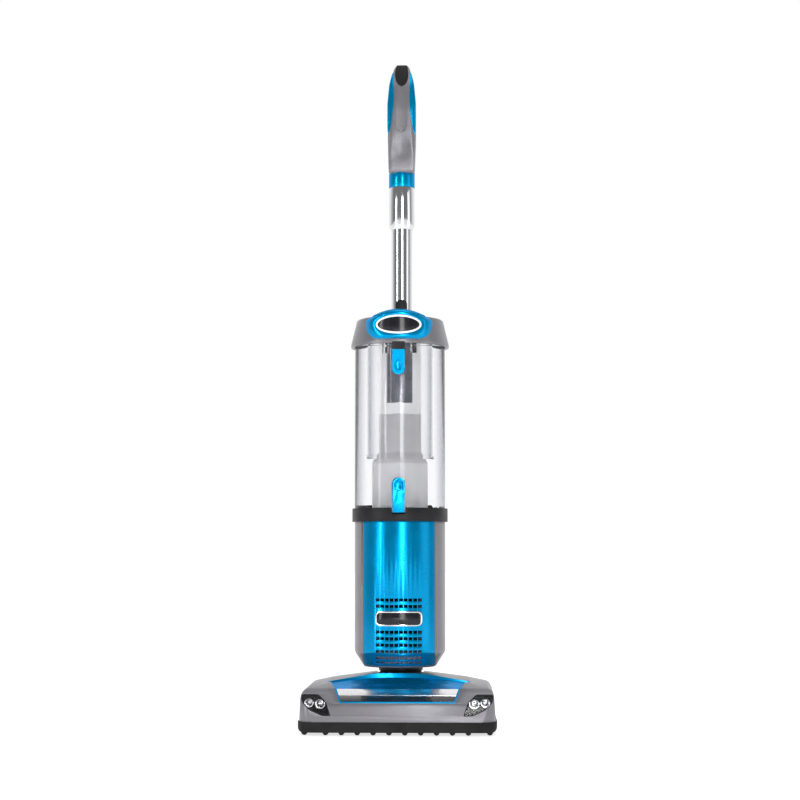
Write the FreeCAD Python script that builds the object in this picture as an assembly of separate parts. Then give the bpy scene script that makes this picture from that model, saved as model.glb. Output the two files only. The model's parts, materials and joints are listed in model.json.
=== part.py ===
"""Upright vacuum cleaner, modelled as separate pieces in millimetres.

+X runs from left to right as seen from the front, +Y from the front to the back, and +Z is up.
The origin is on the floor, under the axis of the dust cup. Each make_ function below makes one group of
pieces and hands them to `save`, which writes parts/NODE.step.
"""
import FreeCAD
import Part
import math
import os

V = FreeCAD.Vector

# ---------------------------------------------------------------- driving dimensions
HEAD_WIDTH = 318.0          # floor head, over the bumper
HEAD_FRONT_Y = -165.0       # front of the bumper
HEAD_REAR_Y = 92.0          # back of the floor head's covers
HEAD_WALL = 2.8
BUMPER_BOTTOM_Z = 4.8
BUMPER_TOP_Z = 21.0
BAND_TOP_Z = 49.0           # top of the upright front band
HEAD_END_TOP_Z = 71.0       # crown of the head at its two ends
HEAD_MID_TOP_Z = 90.0       # crown of the head over the neck

BRUSH_Y = -123.0
BRUSH_Z = 25.5
BRUSH_TIP_R = 24.3
CHAMBER_R = BRUSH_TIP_R + 2.2
BRUSH_CORE_R = 14.0
BRUSH_LENGTH = 258.0
BRUSH_MOTOR_Y = -52.0
BRUSH_MOTOR_Z = 33.0
BRUSH_PULLEY_R = 14.0
MOTOR_PULLEY_R = 8.0
BELT_THICK = 2.0
BELT_WIDTH = 8.0

REAR_WHEEL_R = 27.0
REAR_WHEEL_Y = 70.0
REAR_WHEEL_IN = 25.0          # from the side of the head to the middle of a rear wheel
REAR_WHEEL_X = HEAD_WIDTH / 2 - REAR_WHEEL_IN
REAR_WHEEL_WIDTH = 16.0
ROLLER_R = 8.0
ROLLER_X = 100.0
ROLLER_Y = -76.0
ROLLER_WIDTH = 14.0

HINGE_Y = 48.0              # recline axis, along X
HINGE_Z = 46.0
DRUM_R = 28.0
DRUM_HALF = 36.0
NECK_R = 26.0
NECK_BORE_R = 22.0
COLLAR_R = 37.5             # swivel collar on top of the neck

POD_R = 76.0
POD_WALL = 3.0
POD_BOTTOM_Z = 100.0
POD_TAPER_Z = 125.0
POD_BOTTOM_R = 60.0
POD_TOP_Z = 341.0
COVER_HALF = 58.6           # half width of the front filter cover
RIM_R = 80.5                # black rim between pod and cup
RIM_TOP_Z = 363.0

CUP_R = 76.5
CUP_WALL = 2.4
CUP_BOTTOM_Z = 355.3
CUP_TOP_Z = 642.0
LID_BOTTOM_Z = 636.0
LID_BOTTOM_R = 83.0
LID_TOP_Z = 683.0
LID_TOP_R = 73.0
LID_WALL = 3.0
CROWN_TOP_Z = 693.0

CORE_R = 47.0
CORE_NECK_R = 35.5
CORE_SHOULDER_Z = 436.0
CORE_NECK_Z = 453.0
CORE_TOP_Z = 517.0
SHROUD_R = 55.0
SHROUD_BOTTOM_Z = 443.0
GUIDE_R = 21.5

SPINE_HALF = 30.0
SPINE_FRONT_Y = 79.0
SPINE_WALL = 2.6
SPINE_BOTTOM_Z = 130.0
SPINE_TOP_Z = 704.0
ELBOW_BOTTOM_Z = 100.2

WAND_Y = 107.0
WAND_R = 18.5
WAND_WALL = 1.5
WAND_BOTTOM_Z = 644.0
SOCKET_WALL = 3.5             # duct behind the wand in its socket
SPINE_BACK_Y = WAND_Y + WAND_R + SOCKET_WALL
WAND_TOP_Z = 950.0
SLEEVE_WALL = 4.2
SLEEVE_R = WAND_R + SLEEVE_WALL
SLEEVE_BOTTOM_Z = 859.0
RING_BOTTOM_Z = 934.0
RING_TOP_Z = 959.5
HANDLE_TOP_Z = 1162.0
HANDLE_BACK_Y = 165.0
HANDLE_HALF = 24.6          # half of the handle's greatest width

RUN = 0.3                   # clearance between pieces that move past each other
FIT = 0.05                  # clearance of a shaft in its bearing
SEAT = 0.1                  # gap between two curved faces that are screwed or stuck together

# ---------------------------------------------------------------- helpers
FOLDER = "parts"
os.makedirs(FOLDER, exist_ok=True)


def save(node, *shapes):
    """Writes one node, made of one or more solids."""
    solids = [solid for shape in shapes for solid in shape.Solids]
    shape = solids[0] if len(solids) == 1 else Part.makeCompound(solids)
    for solid in solids:
        if not solid.isValid():
            raise ValueError(node + " holds a solid that isn't valid")
    shape.exportStep(os.path.join(FOLDER, node + ".step"))


def box(x, y, z):
    """A block from three (low, high) pairs."""
    return Part.makeBox(x[1] - x[0], y[1] - y[0], z[1] - z[0], V(x[0], y[0], z[0]))


def rod_x(radius, x, y, z):
    """A round bar along X."""
    return Part.makeCylinder(radius, x[1] - x[0], V(x[0], y, z), V(1, 0, 0))


def rod_y(radius, x, y, z):
    """A round bar along Y."""
    return Part.makeCylinder(radius, y[1] - y[0], V(x, y[0], z), V(0, 1, 0))


def rod_z(radius, z, x=0.0, y=0.0):
    """A round bar along Z."""
    return Part.makeCylinder(radius, z[1] - z[0], V(x, y, z[0]))


def pipe_x(outer, inner, x, y, z):
    return rod_x(outer, x, y, z).cut(rod_x(inner, x, y, z))


def pipe_z(outer, inner, z, x=0.0, y=0.0):
    return rod_z(outer, z, x, y).cut(rod_z(inner, z, x, y))


def outline(points, place):
    """A closed wire through (u, v) or (u, v, corner radius) points; `place` maps (u, v) to a vector."""
    count = len(points)
    edges = []
    ends = []
    for i in range(count):
        u, v = points[i][:2]
        radius = points[i][2] if len(points[i]) > 2 else 0.0
        if radius <= 0.0:
            ends.append((place(u, v), None, place(u, v)))
            continue
        before, after = points[i - 1], points[(i + 1) % count]
        to_before = V(before[0] - u, before[1] - v, 0).normalize()
        to_after = V(after[0] - u, after[1] - v, 0).normalize()
        half = math.acos(max(-1.0, min(1.0, to_before.dot(to_after)))) / 2
        back = radius / math.tan(half)
        middle = (to_before + to_after).normalize() * (radius / math.sin(half) - radius)
        start = V(u, v, 0) + to_before * back
        end = V(u, v, 0) + to_after * back
        top = V(u, v, 0) + middle
        ends.append((place(start.x, start.y), place(top.x, top.y), place(end.x, end.y)))
    for i in range(count):
        start, top, end = ends[i]
        if top is not None:
            edges.append(Part.Arc(start, top, end).toShape())
        following = ends[(i + 1) % count][0]
        if (following - end).Length > 1e-6:
            edges.append(Part.LineSegment(end, following).toShape())
    return Part.Wire(edges)


def prism_x(points, x):
    """An outline in (y, z), drawn out along X."""
    face = Part.Face(outline(points, lambda u, v: V(x[0], u, v)))
    return face.extrude(V(x[1] - x[0], 0, 0))


def prism_y(points, y):
    """An outline in (x, z), drawn out along Y."""
    face = Part.Face(outline(points, lambda u, v: V(u, y[0], v)))
    return face.extrude(V(0, y[1] - y[0], 0))


def prism_z(points, z):
    """An outline in (x, y), drawn out along Z."""
    face = Part.Face(outline(points, lambda u, v: V(u, v, z[0])))
    return face.extrude(V(0, 0, z[1] - z[0]))


def turned(points, x=0.0, y=0.0):
    """An outline in (radius, z), turned about a vertical axis."""
    face = Part.Face(outline(points, lambda u, v: V(x + u, y, v)))
    return face.revolve(V(x, y, 0), V(0, 0, 1), 360)


def mirror_x(shape):
    return shape.mirror(V(0, 0, 0), V(1, 0, 0))


def both_sides(shape):
    return [shape, mirror_x(shape)]


def fused(shapes):
    whole = shapes[0]
    for shape in shapes[1:]:
        whole = whole.fuse(shape)
    return whole.removeSplitter()


def cut_all(shape, tools):
    for tool in tools:
        shape = shape.cut(tool)
    return shape


def mirrored_points(half):
    """Completes a symmetric (u, v[, radius]) outline from its +u half, listed from bottom to top."""
    return half + [(-p[0],) + tuple(p[1:]) for p in reversed(half)]


SCREW_R = 1.5
SCREW_HEAD_R = 3.0
SCREW_HEAD = 1.8            # height of the pan head
DRIVE_HALF = 1.8            # half length of the cross recess
DRIVE_HALF_WIDE = 0.5
DRIVE_DEPTH = 0.9


def screw_up(x, y, z_head, length=9.0):
    """A pan-head screw that points up, with its cross recess; its head's outer face lies at z_head."""
    head = rod_z(SCREW_HEAD_R, (z_head, z_head + SCREW_HEAD), x, y)
    shank = rod_z(SCREW_R, (z_head + SCREW_HEAD, z_head + SCREW_HEAD + length), x, y)
    deep = (z_head - DRIVE_DEPTH, z_head + DRIVE_DEPTH)
    slot = box((x - DRIVE_HALF_WIDE, x + DRIVE_HALF_WIDE), (y - DRIVE_HALF, y + DRIVE_HALF), deep)
    cross = box((x - DRIVE_HALF, x + DRIVE_HALF), (y - DRIVE_HALF_WIDE, y + DRIVE_HALF_WIDE), deep)
    return head.fuse(shank).cut(slot).cut(cross)


# ---------------------------------------------------------------- floor head: shared shapes
HALF = HEAD_WIDTH / 2
SIDE_STEP = 2.0             # the covers stand in from the bumper by this much
BASE_STEP = 3.2             # thickness of the bumper
BASE_FLOOR_Z = 6.0
BASE_FLOOR = 3.0
FRONT_CORNER_R = 26.0
REAR_CORNER_R = 38.0
REAR_NARROW = 8.0           # how much narrower the head is at the back, each side
SLOT_HALF = COLLAR_R + 2.0  # gap in the head that the neck tips back through
SLOT_FRONT_Y = HINGE_Y - COLLAR_R - 2.5


def plan(inset):
    """The head's outline seen from above, moved in by inset."""
    wide = HALF - inset
    front = HEAD_FRONT_Y + inset
    back = HEAD_REAR_Y - inset
    return [(-wide, front, FRONT_CORNER_R - inset), (wide, front, FRONT_CORNER_R - inset),
            (wide, -40.0, 60.0), (wide - REAR_NARROW, back, REAR_CORNER_R - inset),
            (-wide + REAR_NARROW, back, REAR_CORNER_R - inset), (-wide, -40.0, 60.0)]


def envelope(inset):
    """The cover's outer form moved in by inset: its side view, plan and front view, all three at once."""
    front = HEAD_FRONT_Y + SIDE_STEP + inset
    back = HEAD_REAR_Y - SIDE_STEP - inset
    top = HEAD_MID_TOP_Z + 4.0 - inset
    side = [(front, BUMPER_TOP_Z), (front + 2.5, BAND_TOP_Z - inset * 0.4, 12.0),
            (front + 34.0, HEAD_END_TOP_Z + 1.0 - inset, 24.0), (front + 112.0, top, 60.0),
            (HINGE_Y - 10.0, top, 30.0), (back, HEAD_END_TOP_Z - 12.0 - inset, 14.0), (back, BUMPER_TOP_Z)]
    wide = HALF - SIDE_STEP - inset
    half = [(wide, BUMPER_TOP_Z), (wide - 3.5, HEAD_END_TOP_Z - 1.0 - inset, 12.0 - inset),
            (wide - 46.0, HEAD_END_TOP_Z + 8.5 - inset, 120.0), (COLLAR_R, HEAD_MID_TOP_Z - inset, 120.0)]
    return (prism_x(side, (-HALF, HALF))
            .common(prism_z(plan(SIDE_STEP + inset), (BUMPER_TOP_Z, HEAD_MID_TOP_Z + 10)))
            .common(prism_y(mirrored_points(half), (HEAD_FRONT_Y, HEAD_REAR_Y))))


SCOOP_THICK = 2.4
SCOOP_FRONT = (-158.0, 50.0)     # (y, z) along the middle of the scoop's sloping floor
SCOOP_BEND = (-104.0, 69.0)
SCOOP_BACK = (-22.0, 86.0)
SCOOP_EDGE = 2.4                 # thickness of the scoop's side walls


def scoop_plan(inset):
    half = [(92.0 - inset, SCOOP_FRONT[0] + inset, 4.0), (107.0 - inset, -108.0, 40.0),
            (122.0 - inset, -66.0 - inset, 9.0), (58.0, -34.0 - inset, 225.0)]
    return mirrored_points(half)


def scoop_slab(low, high):
    """The space between two surfaces that follow the scoop's floor, low and high above it."""
    line = [SCOOP_FRONT, SCOOP_BEND, SCOOP_BACK]
    start = (SCOOP_FRONT[0] - 20.0, SCOOP_FRONT[1] - 6.0)
    end = (SCOOP_BACK[0] + 20.0, SCOOP_BACK[1] + 4.0)
    line = [start] + line + [end]
    points = [(y, z + low) for y, z in line] + [(y, z + high) for y, z in reversed(line)]
    return prism_x(points, (-HALF, HALF))


WINDOW_FRONT_Y = -149.5
WINDOW_BACK_Y = -129.5
STRIP_BACK_Y = -105.0
WINDOW_HALF = 91.0          # half width at the window's front edge
WINDOW_FLARE = 0.27         # how fast the sides spread towards the back
WINDOW_CORNER_R = 1.5


def window_plan(front, back):
    """A trapezium that follows the scoop's sides between two depths."""
    half_front = WINDOW_HALF + (front - WINDOW_FRONT_Y) * WINDOW_FLARE
    half_back = WINDOW_HALF + (back - WINDOW_FRONT_Y) * WINDOW_FLARE
    corners = [(-half_front, front), (half_front, front), (half_back, back), (-half_back, back)]
    return [(x, y, WINDOW_CORNER_R) for x, y in corners]


LAMP_FRONT_Y = HEAD_FRONT_Y
LAMP_BACK_Y = -139.0
LAMP_CENTRES = [(HALF - 19.0, 51.5, 7.5), (HALF - 36.5, 49.5, 8.0)]     # x, z, reflector radius
LENS_THICK = 1.6
BOWL_DEPTH = 12.0
BOWL_THROAT = 0.4           # the bowl's back radius as a share of its front radius
BOWL_SKIN = 0.8
BOWL_FRONT_Y = LAMP_BACK_Y - BOWL_DEPTH - 3.0


def lamp_outline(inset):
    """The lens's outline in the front view, on the +X side."""
    i = inset
    return [(HALF - 5.0 - i, 63.5 - i, 3.5), (HALF - 33.0, 63.5 - i, 9.0), (HALF - 46.5 + i, 52.0, 14.0),
            (HALF - 54.0 + i, 30.5 + i, 1.5), (HALF - 40.0, 30.8 + i, 10.0),
            (HALF - 20.0 - i * 0.6, 39.5 + i, 14.0), (HALF - 7.0 - i, 52.0, 10.0)]


def make_head_covers():
    outer = envelope(0.0)
    inner = envelope(HEAD_WALL)
    shell = outer.cut(inner)
    pocket = prism_z(scoop_plan(0.0), (30.0, 120.0))
    above = scoop_slab(-SCOOP_THICK, 60.0)
    lamp_hole = prism_y(lamp_outline(0.0), (LAMP_FRONT_Y, LAMP_BACK_Y))
    neck_slot = box((-SLOT_HALF, SLOT_HALF), (SLOT_FRONT_Y, HEAD_REAR_Y),
                    (BUMPER_TOP_Z, HEAD_MID_TOP_Z + 10))
    cover = cut_all(shell, [pocket.common(above), neck_slot] + both_sides(lamp_hole) + wheel_wells())
    save("head_cover", cover)

    floor = pocket.common(scoop_slab(-SCOOP_THICK, 0.0))
    walls = pocket.cut(prism_z(scoop_plan(SCOOP_EDGE), (30.0, 120.0))).common(above).common(outer)
    opening = prism_z(window_plan(WINDOW_FRONT_Y, STRIP_BACK_Y), (30.0, 120.0))
    save("head_scoop", floor.fuse(walls).removeSplitter().cut(opening))
    glass = prism_z(window_plan(WINDOW_FRONT_Y, WINDOW_BACK_Y), (30.0, 120.0))
    save("brush_window", glass.common(scoop_slab(-SCOOP_THICK, 0.4)))
    strip = prism_z(window_plan(WINDOW_BACK_Y, STRIP_BACK_Y), (30.0, 120.0))
    save("window_strip", strip.common(scoop_slab(-SCOOP_THICK, 0.8)))

    behind_lens = envelope(LENS_THICK)
    lens_prism = prism_y(lamp_outline(LENS_THICK), (LAMP_FRONT_Y, LAMP_BACK_Y))
    rim = lamp_hole.cut(lens_prism)
    save("headlight_lenses", *both_sides(outer.cut(behind_lens).common(lens_prism)))
    housing = outer.common(rim).fuse(behind_lens.common(lens_prism)).removeSplitter()
    bowls = []
    lamps = []
    for x, z, radius in LAMP_CENTRES:
        throat = radius * BOWL_THROAT
        cone = Part.makeCone(radius, throat, BOWL_DEPTH, V(x, BOWL_FRONT_Y, z), V(0, 1, 0))
        mouth = rod_y(radius, x, (LAMP_FRONT_Y, BOWL_FRONT_Y), z)
        housing = housing.cut(cone.fuse(mouth))
        inside = Part.makeCone(radius - BOWL_SKIN, throat - BOWL_SKIN, BOWL_DEPTH - BOWL_SKIN,
                               V(x, BOWL_FRONT_Y, z), V(0, 1, 0))
        bowls.append(cone.cut(inside).common(behind_lens))
        bulb_y = BOWL_FRONT_Y + BOWL_DEPTH - 5.0
        stem = rod_y(1.4, x, (bulb_y, BOWL_FRONT_Y + BOWL_DEPTH - BOWL_SKIN), z)
        lamps.append(stem.fuse(Part.makeSphere(2.2, V(x, bulb_y, z))))
    brush_space = rod_x(CHAMBER_R, (0.0, BRUSH_LENGTH / 2 + 2.0), BRUSH_Y, BRUSH_Z)
    save("headlight_housings", *both_sides(housing.cut(brush_space)))
    save("headlight_reflectors", *[side for piece in bowls + lamps for side in both_sides(piece)])


WHEEL_SIDE_GAP = 1.5


def wheel_wells():
    half = REAR_WHEEL_WIDTH / 2 + WHEEL_SIDE_GAP
    well = rod_x(REAR_WHEEL_R + 2.5, (REAR_WHEEL_X - half, REAR_WHEEL_X + half), REAR_WHEEL_Y, REAR_WHEEL_R)
    return both_sides(well)


CHEEK_INNER = DRUM_HALF + 4.0
CHEEK_OUTER = CHEEK_INNER + 6.0
TRUNNION_R = 10.0
AXLE_R = 3.0
AXLE_RIB = 3.0
BRUSH_HALF = BRUSH_LENGTH / 2
BRUSH_SHAFT_R = 4.0
MOUTH_HALF = BRUSH_HALF + 5.0
BOSS_R = 4.0
BOSS_HEIGHT = 9.0
SCREWS = [(side * x, y) for x, y in ((75.0, 0.0), (105.0, 45.0), (60.0, 76.0)) for side in (-1, 1)]
MOUTH_Y = (-150.0, -97.0)   # the brush's opening in the floor of the base
BEARING_WIDE = 7.0
BUMPER_CORNER_R = 9.0
BUMP_R = 4.6
BUMP_PITCH = 25.1
BUMPS = 10
CORNER_BUMP_R = 5.0
CORNER_BUMP_IN = 12.0       # from the bumper's side
BUMPER_LIP = 16.0           # width of the bumper's flange under the base
SQUEEGEE_THICK = 4.0
SQUEEGEE_BOTTOM_Z = 1.5


def make_head_base():
    tray = prism_z(plan(BASE_STEP), (BASE_FLOOR_Z, BUMPER_TOP_Z)).cut(
        prism_z(plan(BASE_STEP + HEAD_WALL), (BASE_FLOOR_Z + BASE_FLOOR, BUMPER_TOP_Z)))
    floor_top = BASE_FLOOR_Z + BASE_FLOOR
    mouth = box((-MOUTH_HALF, MOUTH_HALF), MOUTH_Y, (0.0, floor_top + 1.0))
    cheek = box((CHEEK_INNER, CHEEK_OUTER), (HINGE_Y - 15.0, HINGE_Y + 15.0), (floor_top, HINGE_Z)).fuse(
        rod_x(15.0, (CHEEK_INNER, CHEEK_OUTER), HINGE_Y, HINGE_Z))
    cheek = cheek.cut(rod_x(TRUNNION_R + FIT, (CHEEK_INNER, CHEEK_OUTER), HINGE_Y, HINGE_Z))
    wheel_inner = REAR_WHEEL_X - REAR_WHEEL_WIDTH / 2
    rib_x = (wheel_inner - WHEEL_SIDE_GAP - AXLE_RIB, wheel_inner - WHEEL_SIDE_GAP)
    rib = box(rib_x, (REAR_WHEEL_Y - 9.0, REAR_WHEEL_Y + 9.0), (floor_top, REAR_WHEEL_R + 9.0))
    rib = rib.cut(rod_x(AXLE_R, rib_x, REAR_WHEEL_Y, REAR_WHEEL_R))
    tray = cut_all(tray, [mouth] + wheel_wells() + roller_slots())
    ears = [side for ear in roller_ears() for side in both_sides(ear)]
    bearing_x = (MOUTH_HALF, MOUTH_HALF + BEARING_WIDE)
    bearing = box(bearing_x, (BRUSH_Y - 14.0, BRUSH_Y + 14.0), (floor_top, BRUSH_Z + 14.0)).cut(
        rod_x(BRUSH_SHAFT_R + FIT, bearing_x, BRUSH_Y, BRUSH_Z))
    bosses = [rod_z(BOSS_R, (floor_top, floor_top + BOSS_HEIGHT), x, y) for x, y in SCREWS]
    holes = [rod_z(SCREW_R, (BASE_FLOOR_Z, floor_top + BOSS_HEIGHT), x, y) for x, y in SCREWS]
    pin = rod_x(ROLLER_PIN_R, (ROLLER_X - ROLLER_WIDTH / 2 - 4.0, ROLLER_X + ROLLER_WIDTH / 2 + 4.0),
                ROLLER_Y, ROLLER_R)
    holes += both_sides(pin)
    save("head_base", cut_all(fused(
        [tray] + both_sides(cheek) + both_sides(rib) + both_sides(bearing) + ears + bosses), holes))
    save("head_screws", *[screw_up(x, y, BASE_FLOOR_Z - SCREW_HEAD) for x, y in SCREWS])

    wheel_outer = REAR_WHEEL_X + REAR_WHEEL_WIDTH / 2
    axle = rod_x(AXLE_R, (rib_x[0] - 2.0, wheel_outer + RUN), REAR_WHEEL_Y, REAR_WHEEL_R)
    head = rod_x(AXLE_R + 2.0, (wheel_outer + RUN, wheel_outer + WHEEL_SIDE_GAP), REAR_WHEEL_Y, REAR_WHEEL_R)
    save("wheel_axles", *both_sides(axle.fuse(head)), *both_sides(pin))
    make_bumper()


def make_bumper():
    """The rubber bumper round the base, with its row of bumps and its flange, and the squeegee strip."""

    band = prism_z(plan(0.0), (BUMPER_BOTTOM_Z, BUMPER_TOP_Z)).cut(
        prism_z(plan(BASE_STEP), (BUMPER_BOTTOM_Z, BUMPER_TOP_Z)))
    face = prism_y([(-HALF, BUMPER_TOP_Z), (HALF, BUMPER_TOP_Z), (HALF, BUMPER_BOTTOM_Z, BUMPER_CORNER_R),
                    (-HALF, BUMPER_BOTTOM_Z, BUMPER_CORNER_R)], (HEAD_FRONT_Y, -30.0))
    band = band.common(face)
    bumps = []
    for i in range(BUMPS):
        bumps.append(rod_y(BUMP_R, (i - (BUMPS - 1) / 2) * BUMP_PITCH,
                           (HEAD_FRONT_Y + 0.8, HEAD_FRONT_Y + 8.0), BUMPER_BOTTOM_Z + 0.6))
    for sign in (-1, 1):
        bumps.append(rod_y(CORNER_BUMP_R, sign * (HALF - CORNER_BUMP_IN),
                           (HEAD_FRONT_Y + 7.0, HEAD_FRONT_Y + 15.0), BUMPER_BOTTOM_Z + 0.9))
    base_block = prism_z(plan(BASE_STEP), (BASE_FLOOR_Z, BUMPER_TOP_Z))
    lip = prism_z(plan(0.0), (BUMPER_BOTTOM_Z, BASE_FLOOR_Z)).cut(
        prism_z(plan(BUMPER_LIP), (BUMPER_BOTTOM_Z, BASE_FLOOR_Z))).common(face)
    lip = lip.cut(box((-HALF, HALF), (MOUTH_Y[0] - 1.0, 0.0), (0.0, BASE_FLOOR_Z)))
    strip_y = MOUTH_Y[1] + 2.0
    squeegee = box((-MOUTH_HALF + 4, MOUTH_HALF - 4), (strip_y, strip_y + SQUEEGEE_THICK),
                   (SQUEEGEE_BOTTOM_Z, BASE_FLOOR_Z))
    save("head_bumper", fused([band, lip] + bumps).cut(base_block), squeegee)


ROLLER_PIN_R = 2.0


def roller_slots():
    slot = box((ROLLER_X - ROLLER_WIDTH / 2 - 1.0, ROLLER_X + ROLLER_WIDTH / 2 + 1.0),
               (ROLLER_Y - ROLLER_R - 2.0, ROLLER_Y + ROLLER_R + 2.0), (0.0, 20.0))
    return both_sides(slot)


def roller_ears():
    ears = []
    for sign in (-1, 1):
        inner = ROLLER_X + sign * (ROLLER_WIDTH / 2 + 1.0)
        x = (inner, inner + 3.0) if sign > 0 else (inner - 3.0, inner)
        ear = box(x, (ROLLER_Y - 5.0, ROLLER_Y + 5.0), (BASE_FLOOR_Z, ROLLER_R + 5.0))
        ears.append(ear.cut(rod_x(ROLLER_PIN_R, x, ROLLER_Y, ROLLER_R)))
    return ears


def make_head_wheels():
    hub_r = REAR_WHEEL_R - 5.0
    for name, sign in (("left", -1), ("right", 1)):
        x = (sign * REAR_WHEEL_X - REAR_WHEEL_WIDTH / 2, sign * REAR_WHEEL_X + REAR_WHEEL_WIDTH / 2)
        hub = rod_x(hub_r, x, REAR_WHEEL_Y, REAR_WHEEL_R).cut(
            rod_x(AXLE_R + FIT, x, REAR_WHEEL_Y, REAR_WHEEL_R))
        dish = pipe_x(hub_r - 4.0, 8.0, (x[0] + 4.0, x[1]) if sign < 0 else (x[0], x[1] - 4.0),
                      REAR_WHEEL_Y, REAR_WHEEL_R)
        tyre = pipe_x(REAR_WHEEL_R, hub_r, x, REAR_WHEEL_Y, REAR_WHEEL_R)
        save("rear_wheel_" + name, hub.cut(dish), tyre)
        rx = (sign * ROLLER_X - ROLLER_WIDTH / 2, sign * ROLLER_X + ROLLER_WIDTH / 2)
        roller = pipe_x(ROLLER_R, ROLLER_PIN_R + FIT, rx, ROLLER_Y, ROLLER_R)
        save("front_roller_" + name, roller)


BELT_X = (-BRUSH_HALF, -BRUSH_HALF + BELT_WIDTH)
TUFTS = 16                  # bristle blocks in a row
TUFT_HALF = 2.5             # half the width of a row
TUFT_TURN = 180.0           # how far a row winds round the roll, in degrees


def make_brush():
    body_x = (BELT_X[1] + 2.0, BRUSH_HALF)
    core = rod_x(BRUSH_CORE_R, body_x, BRUSH_Y, BRUSH_Z)
    shaft = rod_x(BRUSH_SHAFT_R, (-MOUTH_HALF - 5.0, MOUTH_HALF + 5.0), BRUSH_Y, BRUSH_Z)
    pulley = rod_x(BRUSH_PULLEY_R - BELT_THICK, BELT_X, BRUSH_Y, BRUSH_Z)
    flange = rod_x(BRUSH_PULLEY_R + 1.0, (BELT_X[1], BELT_X[1] + 2.0), BRUSH_Y, BRUSH_Z)
    save("brush_roll", core.cut(shaft), shaft, pulley.fuse(flange).removeSplitter().cut(shaft))
    tufts = []
    step = (body_x[1] - body_x[0]) / TUFTS
    ring = rod_x(BRUSH_CORE_R, body_x, BRUSH_Y, BRUSH_Z)
    reach = rod_x(BRUSH_TIP_R, body_x, BRUSH_Y, BRUSH_Z)
    for row in range(2):
        for i in range(TUFTS):
            x0 = body_x[0] + step * i + 1.0
            block = box((x0, x0 + step - 2.0), (BRUSH_Y - TUFT_HALF, BRUSH_Y + TUFT_HALF),
                        (BRUSH_Z, BRUSH_Z + BRUSH_TIP_R))
            angle = 180.0 * row + TUFT_TURN * i / TUFTS
            block.rotate(V(0, BRUSH_Y, BRUSH_Z), V(1, 0, 0), angle)
            tufts.append(block.cut(ring).common(reach))
    save("brush_bristles", *tufts)


MOTOR_CAN_R = 16.0
SMALL_SHAFT_R = 2.5


def make_brush_motor():
    can_x = (BELT_X[1] + 5.0, BELT_X[1] + 67.0)
    bore = rod_x(SMALL_SHAFT_R + FIT, can_x, BRUSH_MOTOR_Y, BRUSH_MOTOR_Z)
    can = rod_x(MOTOR_CAN_R, can_x, BRUSH_MOTOR_Y, BRUSH_MOTOR_Z)
    foot = box((can_x[0] + 6.0, can_x[1] - 6.0), (BRUSH_MOTOR_Y - 14.0, BRUSH_MOTOR_Y + 14.0),
               (BASE_FLOOR_Z + BASE_FLOOR, BRUSH_MOTOR_Z))
    save("brush_motor", can.fuse(foot).removeSplitter().cut(bore))
    shaft = rod_x(SMALL_SHAFT_R, (BELT_X[0] - 2.0, can_x[1] + 3.0), BRUSH_MOTOR_Y, BRUSH_MOTOR_Z)
    wheel = rod_x(MOTOR_PULLEY_R - BELT_THICK, BELT_X, BRUSH_MOTOR_Y, BRUSH_MOTOR_Z)
    flange = rod_x(MOTOR_PULLEY_R + 1.0, (BELT_X[1], BELT_X[1] + 1.5), BRUSH_MOTOR_Y, BRUSH_MOTOR_Z)
    save("brush_motor_pulley", fused([shaft, wheel, flange]))
    save("drive_belt", belt(BRUSH_PULLEY_R, MOTOR_PULLEY_R).cut(
        belt(BRUSH_PULLEY_R - BELT_THICK + RUN / 2, MOTOR_PULLEY_R - BELT_THICK + RUN / 2)))


def belt(big, small):
    """The space inside a belt's outer face, round the brush pulley and the motor pulley."""
    dy = BRUSH_MOTOR_Y - BRUSH_Y
    dz = BRUSH_MOTOR_Z - BRUSH_Z
    span = math.hypot(dy, dz)
    lean = math.atan2(dz, dy)
    turn = math.acos((big - small) / span)

    def on_brush(angle):
        return V(BELT_X[0], BRUSH_Y + big * math.cos(angle), BRUSH_Z + big * math.sin(angle))

    def on_motor(angle):
        return V(BELT_X[0], BRUSH_MOTOR_Y + small * math.cos(angle), BRUSH_MOTOR_Z + small * math.sin(angle))

    above, below = lean + turn, lean - turn
    edges = [
        Part.Arc(on_brush(above), on_brush(lean + math.pi), on_brush(below)).toShape(),
        Part.LineSegment(on_brush(below), on_motor(below)).toShape(),
        Part.Arc(on_motor(below), on_motor(lean), on_motor(above)).toShape(),
        Part.LineSegment(on_motor(above), on_brush(above)).toShape(),
    ]
    return Part.Face(Part.Wire(edges)).extrude(V(BELT_WIDTH, 0, 0))


DUCT_HALF = 30.0
DUCT_WALL = 2.0
DUCT_Z = (19.0, 46.0)
DUCT_FRONT_Y = BRUSH_Y + BRUSH_TIP_R + 4.2
TROUGH_BACK = 18.0          # how far behind the recline axis the trough reaches


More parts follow.
